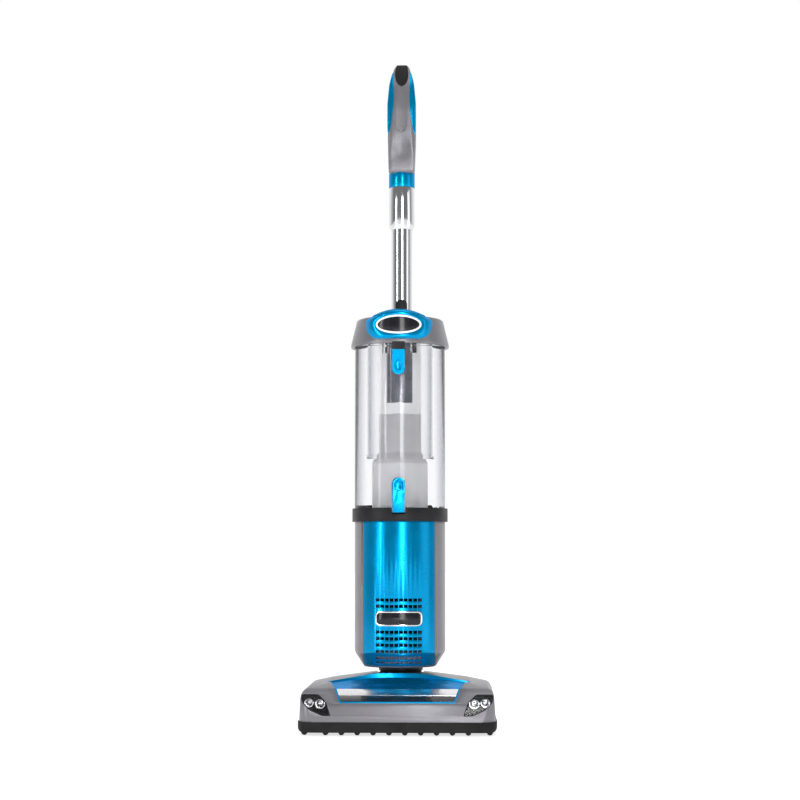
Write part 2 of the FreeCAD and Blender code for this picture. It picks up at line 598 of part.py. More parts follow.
def make_head_duct():
    """The brush chamber's back wall, and the air duct from it to the trough that the neck's drum turns in."""
    chamber_x = (BELT_X[1] + 2.6, BRUSH_HALF + 2.0)
    chamber = pipe_x(CHAMBER_R + DUCT_WALL, CHAMBER_R, chamber_x, BRUSH_Y, BRUSH_Z)
    chamber = chamber.common(box(chamber_x, (BRUSH_Y + 12.0, BRUSH_Y + 60.0),
                                 (BASE_FLOOR_Z + BASE_FLOOR, BRUSH_Z + 24.0)))
    outer = box((-DUCT_HALF, DUCT_HALF), (DUCT_FRONT_Y - 3.0, HINGE_Y), DUCT_Z)
    trough_r = DRUM_R + RUN
    trough = pipe_x(trough_r + DUCT_WALL, trough_r, (-DUCT_HALF, DUCT_HALF), HINGE_Y, HINGE_Z)
    trough = trough.common(box((-DUCT_HALF, DUCT_HALF), (0.0, HINGE_Y + TROUGH_BACK), (0.0, HINGE_Z)))
    inside = box((-DUCT_HALF + DUCT_WALL, DUCT_HALF - DUCT_WALL), (BRUSH_Y, HINGE_Y),
                 (DUCT_Z[0] + DUCT_WALL, DUCT_Z[1] - DUCT_WALL))
    drum = rod_x(trough_r, (-DUCT_HALF, DUCT_HALF), HINGE_Y, HINGE_Z)
    roll = rod_x(CHAMBER_R, chamber_x, BRUSH_Y, BRUSH_Z)
    save("head_duct", cut_all(fused([outer, trough, chamber]), [inside, drum, roll]))


# ---------------------------------------------------------------- neck
COLLAR_THICK = 7.0
APRON_DROP = 12.0             # front skirt under the collar
NECK_TOP_Z = ELBOW_BOTTOM_Z - 2.7
SPIGOT_BOTTOM_Z = 70.0
SPIGOT_BORE_R = 18.5


def make_neck():
    """The hollow drum that the machine reclines on, with the tube and the collar that it swivels on."""
    drum = rod_x(DRUM_R, (-DRUM_HALF, DRUM_HALF), HINGE_Y, HINGE_Z)
    tube = rod_z(NECK_R, (HINGE_Z, NECK_TOP_Z), 0, HINGE_Y)
    collar = rod_z(COLLAR_R, (NECK_TOP_Z - COLLAR_THICK, NECK_TOP_Z), 0, HINGE_Y)
    trunnions = rod_x(TRUNNION_R, (-CHEEK_OUTER - 2.0, CHEEK_OUTER + 2.0), HINGE_Y, HINGE_Z)
    hollow = rod_x(DRUM_R - 3.0, (-DRUM_HALF + 3.0, DRUM_HALF - 3.0), HINGE_Y, HINGE_Z)
    bore = rod_z(NECK_BORE_R, (HINGE_Z, NECK_TOP_Z), 0, HINGE_Y)
    mouth = box((-DUCT_HALF + 3.0, DUCT_HALF - 3.0), (HINGE_Y - DRUM_R, HINGE_Y + DRUM_R / 2),
                (HINGE_Z - DRUM_R, HINGE_Z - 2.0))
    apron_z = (NECK_TOP_Z - COLLAR_THICK - APRON_DROP, NECK_TOP_Z - COLLAR_THICK)
    apron = pipe_z(COLLAR_R - 2.0, NECK_R - 1.0, apron_z, 0, HINGE_Y).common(
        box((-COLLAR_R, COLLAR_R), (0.0, HINGE_Y), apron_z))
    save("neck", cut_all(fused([drum, tube, collar, apron, trunnions]), [hollow, bore, mouth]))


# ---------------------------------------------------------------- rear duct, from the neck up to the cup
SADDLE_HALF = 26.0
PORT_HALF = 18.0
PORT_Z = (560.0, 610.0)
SOCKET_FLOOR_Z = WAND_BOTTOM_Z - RUN
DUCT_CEILING_Z = SOCKET_FLOOR_Z - 12.0
DUCT_FRONT_CORNER = 4.0
DUCT_REAR_CORNER = 12.0
LATCH_TAB_HALF = 10.0
LATCH_TAB_Z = (684.0, 731.0)
LOWER_HOOK_Z = 333.0
HOOK_Z = 690.0
HOOK_SHAFT_R = 4.0
PEG_R = 14.0
PEG_X = SPINE_HALF + PEG_R + 10.0
PEG_Y = SPINE_BACK_Y - 17.0
PEG_Z = (250.0, 285.0)
PEG_PLATE = 8.0
GLAND_Z = 165.0


def duct_block(front_y, z, inset=0.0):
    """The rear duct's rounded block, from front_y to its back."""
    wide = SPINE_HALF - inset
    front = front_y + inset
    back = SPINE_BACK_Y - inset
    return prism_z([(-wide, front, DUCT_FRONT_CORNER), (wide, front, DUCT_FRONT_CORNER),
                    (wide, back, DUCT_REAR_CORNER - inset), (-wide, back, DUCT_REAR_CORNER - inset)], z)


def make_rear_duct():
    elbow_front = HINGE_Y - NECK_BORE_R - 4.0
    elbow_z = (ELBOW_BOTTOM_Z, SPINE_BOTTOM_Z)
    spigot = rod_z(NECK_BORE_R - FIT, (SPIGOT_BOTTOM_Z, ELBOW_BOTTOM_Z), 0, HINGE_Y)
    elbow = duct_block(elbow_front, elbow_z).fuse(spigot).removeSplitter()
    elbow_space = duct_block(elbow_front, (elbow_z[0] + SPINE_WALL, elbow_z[1] - SPINE_WALL), SPINE_WALL)
    riser = duct_block(SPINE_FRONT_Y, (elbow_z[1] - SPINE_WALL, elbow_z[1]), SPINE_WALL)
    bore = rod_z(SPIGOT_BORE_R, (SPIGOT_BOTTOM_Z, elbow_z[0] + SPINE_WALL), 0, HINGE_Y)
    save("air_elbow", cut_all(elbow, [elbow_space, riser, bore]))

    duct = duct_block(SPINE_FRONT_Y, (SPINE_BOTTOM_Z, SPINE_TOP_Z))
    saddle = box((-SADDLE_HALF, SADDLE_HALF), (60.0, SPINE_FRONT_Y + 1.0), (SPINE_BOTTOM_Z, RIM_TOP_Z))
    airway = duct_block(SPINE_FRONT_Y, (SPINE_BOTTOM_Z, DUCT_CEILING_Z), SPINE_WALL)
    latch_block = box((-LATCH_TAB_HALF - 4, LATCH_TAB_HALF + 4), (SPINE_FRONT_Y, WAND_Y),
                      (LATCH_TAB_Z[0] - 6, SPINE_TOP_Z))
    around_socket = duct_block(SPINE_FRONT_Y, (SOCKET_FLOOR_Z + 3.0, SPINE_TOP_Z - 3.0), SPINE_WALL)
    around_socket = cut_all(around_socket, [rod_z(WAND_R + 3.0, (SOCKET_FLOOR_Z, SPINE_TOP_Z), 0, WAND_Y),
                                            latch_block])
    socket = rod_z(WAND_R + FIT, (SOCKET_FLOOR_Z, SPINE_TOP_Z), 0, WAND_Y)
    tab_space = box((-LATCH_TAB_HALF - RUN, LATCH_TAB_HALF + RUN), (SPINE_FRONT_Y, SPINE_FRONT_Y + 8.0),
                    (LATCH_TAB_Z[0] - RUN, SPINE_TOP_Z))
    port = box((-PORT_HALF, PORT_HALF), (60.0, SPINE_FRONT_Y + 10.0), PORT_Z)
    solid = cut_all(duct.fuse(saddle).removeSplitter(), [
        airway, around_socket, socket, tab_space, port,
        rod_z(POD_R + SEAT, (SPINE_BOTTOM_Z, POD_TOP_Z)), rod_z(RIM_R + SEAT, (POD_TOP_Z, RIM_TOP_Z))])
    front_half = box((-SPINE_HALF, SPINE_HALF), (0.0, WAND_Y), (SPINE_BOTTOM_Z, SPINE_TOP_Z))
    save("air_duct_front", solid.common(front_half))

    back = SPINE_BACK_Y
    top = LOWER_HOOK_Z
    lower_hook = prism_x([(back, top - 7.0), (back + 25.0, top - 7.0, 3.0), (back + 25.0, top - 27.0),
                          (back + 31.0, top - 27.0), (back + 31.0, top, 8.0), (back, top)], (-9.0, 9.0))
    hook_boss = rod_y(9.0, 0.0, (back, back + 4.0), HOOK_Z)
    rear = fused([solid.cut(front_half), lower_hook, hook_boss])
    rear = rear.cut(rod_y(HOOK_SHAFT_R + FIT, 0.0, (back - SPINE_WALL, back + 4.0), HOOK_Z))
    save("air_duct_rear", rear.cut(rod_y(4.0, 0.0, (back - SPINE_WALL, back), GLAND_Z)))

    arm_y = back + 4.0 + RUN
    hook_shaft = rod_y(HOOK_SHAFT_R, 0.0, (back - SPINE_WALL, arm_y), HOOK_Z)
    save("cord_hook", hook_arm(arm_y).fuse(hook_shaft).removeSplitter())

    plate_z = (PEG_Z[0] - PEG_PLATE, PEG_Z[0])
    bracket = box((SPINE_HALF, PEG_X), (PEG_Y - 4.5, PEG_Y + 4.5), plate_z)
    plate = rod_z(PEG_R + 3.0, plate_z, PEG_X, PEG_Y)
    peg = pipe_z(PEG_R, PEG_R - 3.0, PEG_Z, PEG_X, PEG_Y)
    save("accessory_peg", fused([bracket, plate, peg]))

    tab_y = SPINE_FRONT_Y + RUN * 2
    tab = prism_y([(-LATCH_TAB_HALF, LATCH_TAB_Z[0]), (LATCH_TAB_HALF, LATCH_TAB_Z[0]),
                   (LATCH_TAB_HALF, LATCH_TAB_Z[1], 8.0), (-LATCH_TAB_HALF, LATCH_TAB_Z[1], 8.0)],
                  (tab_y, tab_y + 4.0))
    save("wand_latch", tab.fuse(rod_y(4.0, 0.0, (tab_y + 4.0, tab_y + 5.0), LATCH_TAB_Z[0] + 11.0)))


def hook_arm(arm_y):
    """The cord hook's arm: a plate that rises from the pivot, then turns back and up."""
    plate = prism_y([(-9.0, HOOK_Z - 9.0, 8.0), (9.0, HOOK_Z - 9.0, 8.0), (7.0, HOOK_Z + 40.0),
                     (-7.0, HOOK_Z + 40.0)], (arm_y, arm_y + 5.0))
    shelf = box((-7.0, 7.0), (arm_y + 5.0, arm_y + 27.0), (HOOK_Z + 35.0, HOOK_Z + 40.0))
    lip = box((-7.0, 7.0), (arm_y + 22.0, arm_y + 27.0), (HOOK_Z + 40.0, HOOK_Z + 51.0))
    return fused([plate, shelf, lip])


# ---------------------------------------------------------------- motor pod
MOTOR_Y = 15.0
BULKHEAD_Y = -38.0
BULKHEAD = 3.0
SHELF_Z = 262.0
LOWER_PLATE_Z = (132.0, 135.0)
UPPER_PLATE_Z = (270.0, 273.0)
CASING_Z = (143.0, 262.0)
CAN_TOP_Z = 225.0
CAN_R = 46.0
FAN_CASE_R = 52.0
ROTOR_SHAFT_R = 4.0
BEARING_R = 11.0
STATOR_R = (20.0, CAN_R - 2.0)
TRAY_R = 68.0
TRAY_TOP_Z = 338.0
GASKET_R = (CUP_R - 12.5, CUP_R - 7.5)
RIM_BORE_R = CUP_R - 16.5
RIM_SEAT_Z = CUP_BOTTOM_Z - RUN
HEPA_HALF = 37.0
HEPA_Y = (-60.0, BULKHEAD_Y - BULKHEAD)
HEPA_Z = (126.0, 218.0)
TRIM = 2.6
COVER_THICK = 2.7
VENT_HALF = 38.6
VENT_CELLS = 10
VENT_ROWS = [(z, 2.5) for z in (211.5, 201.0, 159.0, 148.4, 137.8, 127.2, 116.6)]   # z, half height
VENT_ROWS += [(108.8, 1.6)]
BADGE_Z = (169.0, 193.0)
BADGE_HALF = 38.5
BADGE_RIM = 2.2


def pod_form(inset, top_z=POD_TOP_Z):
    """The pod's outer form moved in by inset."""
    lean = (POD_R - POD_BOTTOM_R) / (POD_TAPER_Z - POD_BOTTOM_Z)
    bottom = POD_BOTTOM_Z + inset
    bottom_r = POD_BOTTOM_R - inset * 0.8 + (0.0 if inset == 0 else inset * lean * 0.5)
    return turned([(0.0, bottom), (bottom_r, bottom, 3.0), (POD_R - inset, POD_TAPER_Z + inset * 0.4, 14.0),
                   (POD_R - inset, top_z), (0.0, top_z)])


def front_sector(half, z, deep=BULKHEAD_Y):
    return box((-half, half), (-POD_R - 10, deep), z)


def make_pod():
    shell = pod_form(0.0).cut(pod_form(POD_WALL))
    sector = front_sector(COVER_HALF + TRIM, (POD_BOTTOM_Z + POD_WALL, POD_TOP_Z), 0.0)
    inner_r = POD_R - POD_WALL
    wall = pipe_z(inner_r, inner_r - POD_WALL, (SHELF_Z - 3.0, POD_TOP_Z)).common(
        front_sector(POD_R, (SHELF_Z - 3.0, POD_TOP_Z)))
    shelf = rod_z(inner_r, (SHELF_Z - 3.0, SHELF_Z)).common(front_sector(POD_R, (0, 400)))
    inside = pod_form(POD_WALL)
    bulkhead = inside.common(
        box((-POD_R, POD_R), (BULKHEAD_Y - BULKHEAD, BULKHEAD_Y), (POD_BOTTOM_Z, SHELF_Z)))
    window = box((-HEPA_HALF + 4, HEPA_HALF - 4), (BULKHEAD_Y - BULKHEAD, BULKHEAD_Y),
                 (HEPA_Z[0] + 4, HEPA_Z[1] - 4))
    lower = rod_z(inner_r, LOWER_PLATE_Z).cut(front_sector(POD_R, (0, 400)))
    for i in range(7):
        angle = math.radians(-30 + 40 * i)
        lower = lower.cut(rod_z(7.0, LOWER_PLATE_Z, 60.0 * math.cos(angle), 60.0 * math.sin(angle)))
    upper = rod_z(inner_r, UPPER_PLATE_Z).cut(rod_z(24.0, UPPER_PLATE_Z, 0, MOTOR_Y))
    elbow_front = HINGE_Y - NECK_BORE_R - 4.0
    elbow = duct_block(elbow_front, (POD_BOTTOM_Z - 5, SPINE_BOTTOM_Z))
    washer = rod_z(COLLAR_R, (POD_BOTTOM_Z - 1.0, ELBOW_BOTTOM_Z), 0, HINGE_Y)
    body = cut_all(fused([shell.cut(sector), wall, shelf, bulkhead, lower, upper]), [window, elbow, washer])
    band = shell.common(front_sector(COVER_HALF + TRIM, (POD_BOTTOM_Z + POD_WALL, POD_TOP_Z), 0.0))
    band = band.common(box((COVER_HALF + RUN, COVER_HALF + TRIM), (-POD_R, 0.0), (0, 400)))
    save("pod_housing", body, *both_sides(band))

    cover = pod_form(0.0).cut(pod_form(COVER_THICK)).common(
        front_sector(COVER_HALF, (POD_BOTTOM_Z + POD_WALL + RUN, POD_TOP_Z - RUN), 0.0))
    pitch = 2 * VENT_HALF / VENT_CELLS
    slots = [box((-VENT_HALF + pitch * i + 0.7, -VENT_HALF + pitch * (i + 1) - 0.7), (-POD_R - 1, -40.0),
                 (z - tall, z + tall)) for z, tall in VENT_ROWS for i in range(VENT_CELLS)]
    save("front_cover", cover.cut(Part.makeCompound(slots)))

    outer = [(-BADGE_HALF, BADGE_Z[0], 8.0), (BADGE_HALF, BADGE_Z[0], 8.0), (BADGE_HALF, BADGE_Z[1], 8.0),
             (-BADGE_HALF, BADGE_Z[1], 8.0)]
    wide, low, high = BADGE_HALF - BADGE_RIM, BADGE_Z[0] + BADGE_RIM, BADGE_Z[1] - BADGE_RIM
    inner = [(-wide, low, 6.0), (wide, low, 6.0), (wide, high, 6.0), (-wide, high, 6.0)]
    plate = prism_y(inner, (-POD_R - 5, 0.0)).common(pipe_z(POD_R + 0.9, POD_R + SEAT, BADGE_Z))
    rim = prism_y(outer, (-POD_R - 5, 0.0)).cut(prism_y(inner, (-POD_R - 5, 0.0)))
    save("cover_badge", rim.common(pipe_z(POD_R + 1.5, POD_R + SEAT, BADGE_Z)), plate)

    seat = rod_z(CUP_R + 0.5, (RIM_SEAT_Z, RIM_TOP_Z))
    ring = pipe_z(RIM_R, RIM_BORE_R, (POD_TOP_Z, RIM_TOP_Z)).cut(seat)
    groove = pipe_z(GASKET_R[1], GASKET_R[0], (RIM_SEAT_Z - 2.5, RIM_SEAT_Z))
    notch = box((-LATCH_LOW_HALF - 0.6, LATCH_LOW_HALF + 0.6), (-RIM_R, -CUP_R + 4.0),
                (RIM_SEAT_Z - 3.0, RIM_TOP_Z))
    save("pod_rim", ring.cut(groove).cut(notch))

    swivel_washer = pipe_z(COLLAR_R - 1.5, NECK_BORE_R + RUN, (NECK_TOP_Z + RUN, ELBOW_BOTTOM_Z), 0, HINGE_Y)
    port_ring = box((-PORT_HALF - 5, PORT_HALF + 5), (SPINE_FRONT_Y - 0.5, SPINE_FRONT_Y),
                    (PORT_Z[0] - 5, PORT_Z[1] + 5)).cut(
        box((-PORT_HALF, PORT_HALF), (SPINE_FRONT_Y - 0.5, SPINE_FRONT_Y), PORT_Z))
    lower_mount = pipe_z(40.0, 16.0, (LOWER_PLATE_Z[1], CASING_Z[0]), 0, MOTOR_Y)
    upper_mount = pipe_z(40.0, 24.0, (CASING_Z[1], UPPER_PLATE_Z[0]), 0, MOTOR_Y)
    gland = rod_y(8.0, 0, (SPINE_BACK_Y, SPINE_BACK_Y + 5.0), GLAND_Z).fuse(
        Part.makeCone(6.5, 5.0, 16.0, V(0, SPINE_BACK_Y + 5.0, GLAND_Z), V(0, 1, 0)))
    gland = gland.cut(rod_y(3.6, 0, (SPINE_BACK_Y, SPINE_BACK_Y + 21.0), GLAND_Z))
    save("seals_and_mounts", groove, swivel_washer, port_ring, lower_mount, upper_mount, gland)


def make_motor():
    floor_z = (CASING_Z[0], CASING_Z[0] + 4.0)
    head_z = (CAN_TOP_Z - 4.0, CAN_TOP_Z)
    can = rod_z(CAN_R, (CASING_Z[0], CAN_TOP_Z), 0, MOTOR_Y).fuse(
        rod_z(FAN_CASE_R, (CAN_TOP_Z, CASING_Z[1]), 0, MOTOR_Y))
    space = rod_z(CAN_R - 2.0, (floor_z[1], head_z[0]), 0, MOTOR_Y)
    fan_space = rod_z(FAN_CASE_R - 2.0, (CAN_TOP_Z + 2.0, CASING_Z[1] - 2.0), 0, MOTOR_Y)
    eye = rod_z(22.0, (CASING_Z[1] - 2.0, CASING_Z[1]), 0, MOTOR_Y)
    seats = rod_z(BEARING_R, (CASING_Z[0], CAN_TOP_Z + 2.0), 0, MOTOR_Y)
    vents = []
    for i in range(6):
        angle = math.radians(60 * i + 30)
        x, y = 30.0 * math.cos(angle), MOTOR_Y + 30.0 * math.sin(angle)
        vents.append(rod_z(6.0, (head_z[0], CAN_TOP_Z + 2.0), x, y))
        side = box((CAN_R - 4.0, CAN_R + 1.0), (-7.0, 7.0), (150.0, 156.0))
        side.rotate(V(0, 0, 0), V(0, 0, 1), 60 * i)
        side.translate(V(0, MOTOR_Y, 0))
        vents.append(side)
    save("motor_casing", cut_all(can.removeSplitter(), [space, fan_space, eye, seats] + vents))
    lower = pipe_z(BEARING_R, ROTOR_SHAFT_R + FIT, (floor_z[0], floor_z[0] + 7.0), 0, MOTOR_Y)
    upper = pipe_z(BEARING_R, ROTOR_SHAFT_R + FIT, (head_z[0] - 1.0, head_z[1] + 2.0), 0, MOTOR_Y)
    stator = pipe_z(STATOR_R[1], STATOR_R[0], (160.0, 212.0), 0, MOTOR_Y)
    save("motor_stator", stator, lower, upper)
    shaft = rod_z(ROTOR_SHAFT_R, (CASING_Z[0] - 3.0, 254.0), 0, MOTOR_Y)
    core = rod_z(STATOR_R[0] - 1.0, (162.0, 210.0), 0, MOTOR_Y)
    hub = rod_z(10.0, (230.0, 252.0), 0, MOTOR_Y)
    disc = rod_z(FAN_CASE_R - 6.0, (230.0, 232.5), 0, MOTOR_Y)
    blades = []
    for i in range(9):
        blade = box((9.0, FAN_CASE_R - 7.0), (-1.0, 1.0), (232.5, 248.0))
        blade.rotate(V(0, 0, 0), V(0, 0, 1), 40 * i)
        blade.translate(V(0, MOTOR_Y, 0))
        blades.append(blade)
    save("motor_rotor", fused([shaft, core, hub, disc] + blades))

    tray_z = (UPPER_PLATE_Z[1], TRAY_TOP_Z)
    tray = rod_z(TRAY_R, tray_z).cut(rod_z(TRAY_R - 2.0, (tray_z[0] + 2.0, tray_z[1])))
    holes = []
    for ring, count in ((16.0, 6), (32.0, 12), (48.0, 18)):
        for i in range(count):
            angle = 2 * math.pi * i / count
            holes.append(rod_z(4.5, (tray_z[0], tray_z[0] + 2.0),
                               ring * math.cos(angle), ring * math.sin(angle)))
    save("filter_tray", tray.cut(Part.makeCompound(holes)))
    save("foam_filter", rod_z(TRAY_R - 2.0 - RUN, (tray_z[0] + 2.0, TRAY_TOP_Z - 12.0)))

    frame = box((-HEPA_HALF, HEPA_HALF), HEPA_Y, HEPA_Z)
    pleats = []
    count = 16
    pitch = (2 * HEPA_HALF - 8.0) / count
    for i in range(count):
        x = -HEPA_HALF + 4.0 + pitch * i
        pleats.append(prism_z([(x, HEPA_Y[0]), (x + pitch, HEPA_Y[0]), (x + pitch / 2, HEPA_Y[0] + 12.0)],
                              (HEPA_Z[0] + 4, HEPA_Z[1] - 4)))
    save("hepa_filter", frame.cut(Part.makeCompound(pleats)))


# ---------------------------------------------------------------- dust cup
LATCH_LOW_HALF = 10.6
LATCH_LOW_Z = (CUP_BOTTOM_Z - 0.5, 412.0)
LATCH_LOW_PIVOT = (-79.3, 385.0)       # y, z
LATCH_PIN_R = 1.5
LEVER_THICK = 3.5
LEVER_BACK_Y = -81.5
STUB_Y = SPINE_FRONT_Y - 0.8           # face of the cup's inlet, just clear of the duct's gasket


def make_cup():
    bottom_bore = CORE_R - CUP_WALL
    cup = turned([(bottom_bore, CUP_BOTTOM_Z), (CUP_R, CUP_BOTTOM_Z, 2.0), (CUP_R, CUP_TOP_Z),
                  (CUP_R - CUP_WALL, CUP_TOP_Z), (CUP_R - CUP_WALL, CUP_BOTTOM_Z + 3.0),
                  (bottom_bore, CUP_BOTTOM_Z + 3.0)])
    stub = box((-PORT_HALF - 3, PORT_HALF + 3), (60.0, STUB_Y), (PORT_Z[0] - 3, PORT_Z[1] + 3)).cut(
        rod_z(CUP_R - CUP_WALL, (CUP_BOTTOM_Z, CUP_TOP_Z)))
    port = box((-PORT_HALF, PORT_HALF), (50.0, STUB_Y), PORT_Z)
    pivot_y, pivot_z = LATCH_LOW_PIVOT
    lug = box((-6.0, 6.0), (LEVER_BACK_Y + 0.5, -CUP_R + 1.5), (pivot_z - 4.0, pivot_z + 4.0)).cut(
        rod_z(CUP_R - CUP_WALL, (CUP_BOTTOM_Z, CUP_TOP_Z)))
    pin = rod_x(LATCH_PIN_R, (-9.5, 9.5), pivot_y, pivot_z)
    save("dust_cup", cup.fuse(stub).fuse(lug).removeSplitter().cut(port).cut(pin), pin)

    wall = CUP_WALL
    save("outlet_core", turned([
        (CORE_R - wall, CUP_BOTTOM_Z + 3.0), (CORE_R, CUP_BOTTOM_Z + 3.0), (CORE_R, CORE_SHOULDER_Z, 6.0),
        (CORE_NECK_R, CORE_NECK_Z, 6.0), (CORE_NECK_R, CORE_TOP_Z), (CORE_NECK_R - wall, CORE_TOP_Z),
        (CORE_NECK_R - wall, CORE_NECK_Z - 1.0, 6.0), (CORE_R - wall, CORE_SHOULDER_Z - 1.0, 6.0)]))

    front = LEVER_BACK_Y - LEVER_THICK
    lever = prism_y([(-LATCH_LOW_HALF + 1, LATCH_LOW_Z[0], 1.0), (LATCH_LOW_HALF - 1, LATCH_LOW_Z[0], 1.0),
                     (LATCH_LOW_HALF, 384.0, 2.0), (LATCH_LOW_HALF, LATCH_LOW_Z[1], 9.0),
                     (-LATCH_LOW_HALF, LATCH_LOW_Z[1], 9.0), (-LATCH_LOW_HALF, 384.0, 2.0)],
                    (front, LEVER_BACK_Y))
    lever = lever.cut(rod_y(7.0, 0.0, (front, front + 1.2), LATCH_LOW_Z[1] - 10.0))
    cheek = box((6.3, 9.3), (LEVER_BACK_Y, pivot_y + 2.4), (pivot_z - 4.0, pivot_z + 4.0))
    tongue = box((-7.0, 7.0), (LEVER_BACK_Y, -CUP_R - 0.8), (LATCH_LOW_Z[0], RIM_TOP_Z - 2.0))
    save("cup_latch", fused([lever, tongue] + both_sides(cheek)).cut(
        rod_x(LATCH_PIN_R + FIT, (-12.0, 12.0), pivot_y, pivot_z)))


# ---------------------------------------------------------------- lid with the cyclone's inner tubes
LID_CEILING_Z = 646.0
LID_FLAT_Y = SPINE_FRONT_Y - 0.5
SHROUD_WALL = 2.0
CROWN_R = 84.2
BADGE_CENTRE_Z = 666.5
LATCH_TOP_HALF = 10.3
LATCH_TOP_Z = (583.0, 624.5)
LATCH_TOP_PIVOT = (-79.8, 620.0)
LATCH_TOP_REACH = 5.6                  # from the pivot to the lever's front


def lid_form(inset):
    """The lid's turned outer form moved in by inset."""
    wide, top = LID_BOTTOM_R - inset, LID_TOP_Z - inset
    return turned([(0.0, LID_BOTTOM_Z), (wide, LID_BOTTOM_Z), (wide, LID_BOTTOM_Z + 5.0, 6.0),
                   (LID_TOP_R - inset, top, 5.0), (0.0, top)])


def make_lid():
    behind = box((-100.0, 100.0), (LID_FLAT_Y, 120.0), (600.0, 720.0))
    skirt_r = CUP_R + 0.6
    skirt = rod_z(skirt_r, (LID_BOTTOM_Z, LID_CEILING_Z))
    cavity = lid_form(LID_WALL).common(rod_z(LID_BOTTOM_R, (LID_CEILING_Z + LID_WALL, LID_TOP_Z)))
    eye = rod_z(GUIDE_R, (LID_CEILING_Z, LID_CEILING_Z + LID_WALL))
    inside_flat = box((-100.0, 100.0), (LID_FLAT_Y - LID_WALL, 120.0), (LID_CEILING_Z + LID_WALL, 720.0))
    mount_z = (LATCH_TOP_Z[1] + 1.5, LID_BOTTOM_Z)
    pivot_y, pivot_z = LATCH_TOP_PIVOT
    mount = box((-LATCH_TOP_HALF, LATCH_TOP_HALF), (-LID_BOTTOM_R - 1.5, -CUP_R - 1.0), mount_z)
    lug = box((-4.0, 4.0), (pivot_y - 1.6, -CUP_R - 1.0), (pivot_z - 4.0, pivot_z + 1.5)).fuse(
        box((-4.0, 4.0), (pivot_y - 0.8, -CUP_R - 1.0), (pivot_z + 1.5, mount_z[0])))
    pin = rod_x(LATCH_PIN_R, (-8.5, 8.5), pivot_y, pivot_z)
    cap = cut_all(lid_form(0.0), [behind, skirt, cavity.cut(inside_flat), eye])
    save("lid_cap", cap, fused([mount, lug]).cut(pin), pin)
    save("lid_seal", pipe_z(skirt_r - 0.3, CUP_R - 5.0, (CUP_TOP_Z + RUN, LID_CEILING_Z)).cut(behind))

    front = pivot_y - LATCH_TOP_REACH
    lever = prism_y([(-LATCH_TOP_HALF, LATCH_TOP_Z[0], 9.5), (LATCH_TOP_HALF, LATCH_TOP_Z[0], 9.5),
                     (LATCH_TOP_HALF, LATCH_TOP_Z[1], 1.0), (-LATCH_TOP_HALF, LATCH_TOP_Z[1], 1.0)],
                    (front, front + LEVER_THICK))
    low, high = LATCH_TOP_Z[0] + 3.5, LATCH_TOP_Z[0] + 27.0
    recess = prism_y([(-7.0, low, 6.5), (7.0, low, 6.5), (7.0, high, 6.5), (-7.0, high, 6.5)],
                     (front, front + 1.2))
    cheek = box((4.3, 7.5), (front + LEVER_THICK, pivot_y + 2.4), (pivot_z - 4.0, pivot_z + 3.5))
    save("lid_latch", fused([lever.cut(recess)] + both_sides(cheek)).cut(
        rod_x(LATCH_PIN_R + FIT, (-12.0, 12.0), pivot_y, pivot_z)))

    side = [(42.0, 643.0, 12.0), (54.0, 654.0, 9.0), (55.5, 675.5, 3.0), (29.0, 688.0, 50.0)]
    crown = side + [(0.0, CROWN_TOP_Z, 60.0)] + [(-x, z, r) for x, z, r in reversed(side)]
    floor = LID_TOP_Z - 4.0
    band = turned([(CROWN_R, 640.0), (CROWN_R, 695.0), (CROWN_R - 3.0, 695.0), (CROWN_R - 5.0, floor),
                   (CROWN_R - 20.0, floor), (CROWN_R - 20.0, 640.0)])
    save("lid_crown", band.common(prism_y(crown, (-CROWN_R - 1, -20.0))).cut(lid_form(0.0)))

    ahead = (-CROWN_R - 5, 0.0)
    plate = oval(35.0, 12.7, ahead).common(pipe_z(CROWN_R + 0.9, CROWN_R + SEAT, (640.0, 695.0)))
    rim = oval(38.0, 15.7, ahead).cut(oval(35.0, 12.7, ahead))
    save("lid_badge", rim.common(pipe_z(CROWN_R + 1.7, CROWN_R + SEAT, (640.0, 695.0))), plate)

    shroud = pipe_z(SHROUD_R, SHROUD_R - SHROUD_WALL, (SHROUD_BOTTOM_Z, LID_CEILING_Z))
    flange = pipe_z(CUP_R - CUP_WALL - 0.6, SHROUD_R, (630.0, 633.0))
    hoop = pipe_z(SHROUD_R + 1.5, SHROUD_R, (SHROUD_BOTTOM_Z, SHROUD_BOTTOM_Z + 6.0))
    save("shroud", fused([shroud, flange, hoop]))
    sleeve = pipe_z(CORE_NECK_R, CORE_NECK_R - SHROUD_WALL, (CORE_TOP_Z + RUN, LID_CEILING_Z))
    windows = []
    for i in range(8):
        window = box((CORE_NECK_R - 6.0, CORE_NECK_R + 2.0), (-7.0, 7.0),
                     (CORE_TOP_Z + 103.0, LID_CEILING_Z - 4.0))
        window.rotate(V(0, 0, 0), V(0, 0, 1), 45 * i)
        windows.append(window)
    guide = pipe_z(GUIDE_R, GUIDE_R - SHROUD_WALL, (CORE_TOP_Z + 19.0, LID_CEILING_Z)).fuse(
        rod_z(GUIDE_R, (LID_CEILING_Z - SHROUD_WALL, LID_CEILING_Z + LID_WALL))).removeSplitter()
    save("outlet_sleeve", cut_all(sleeve, windows))
    save("guide_tube", guide)


def oval(half_wide, half_tall, y):
    """An upright oval on the crown's middle, drawn out along Y."""
    ellipse = Part.Ellipse(V(0, y[0], BADGE_CENTRE_Z), half_wide, half_tall)
    ellipse.Axis = V(0, 1, 0)
    ellipse.XAxis = V(1, 0, 0)
    return Part.Face(Part.Wire([ellipse.toShape()])).extrude(V(0, y[1] - y[0], 0))


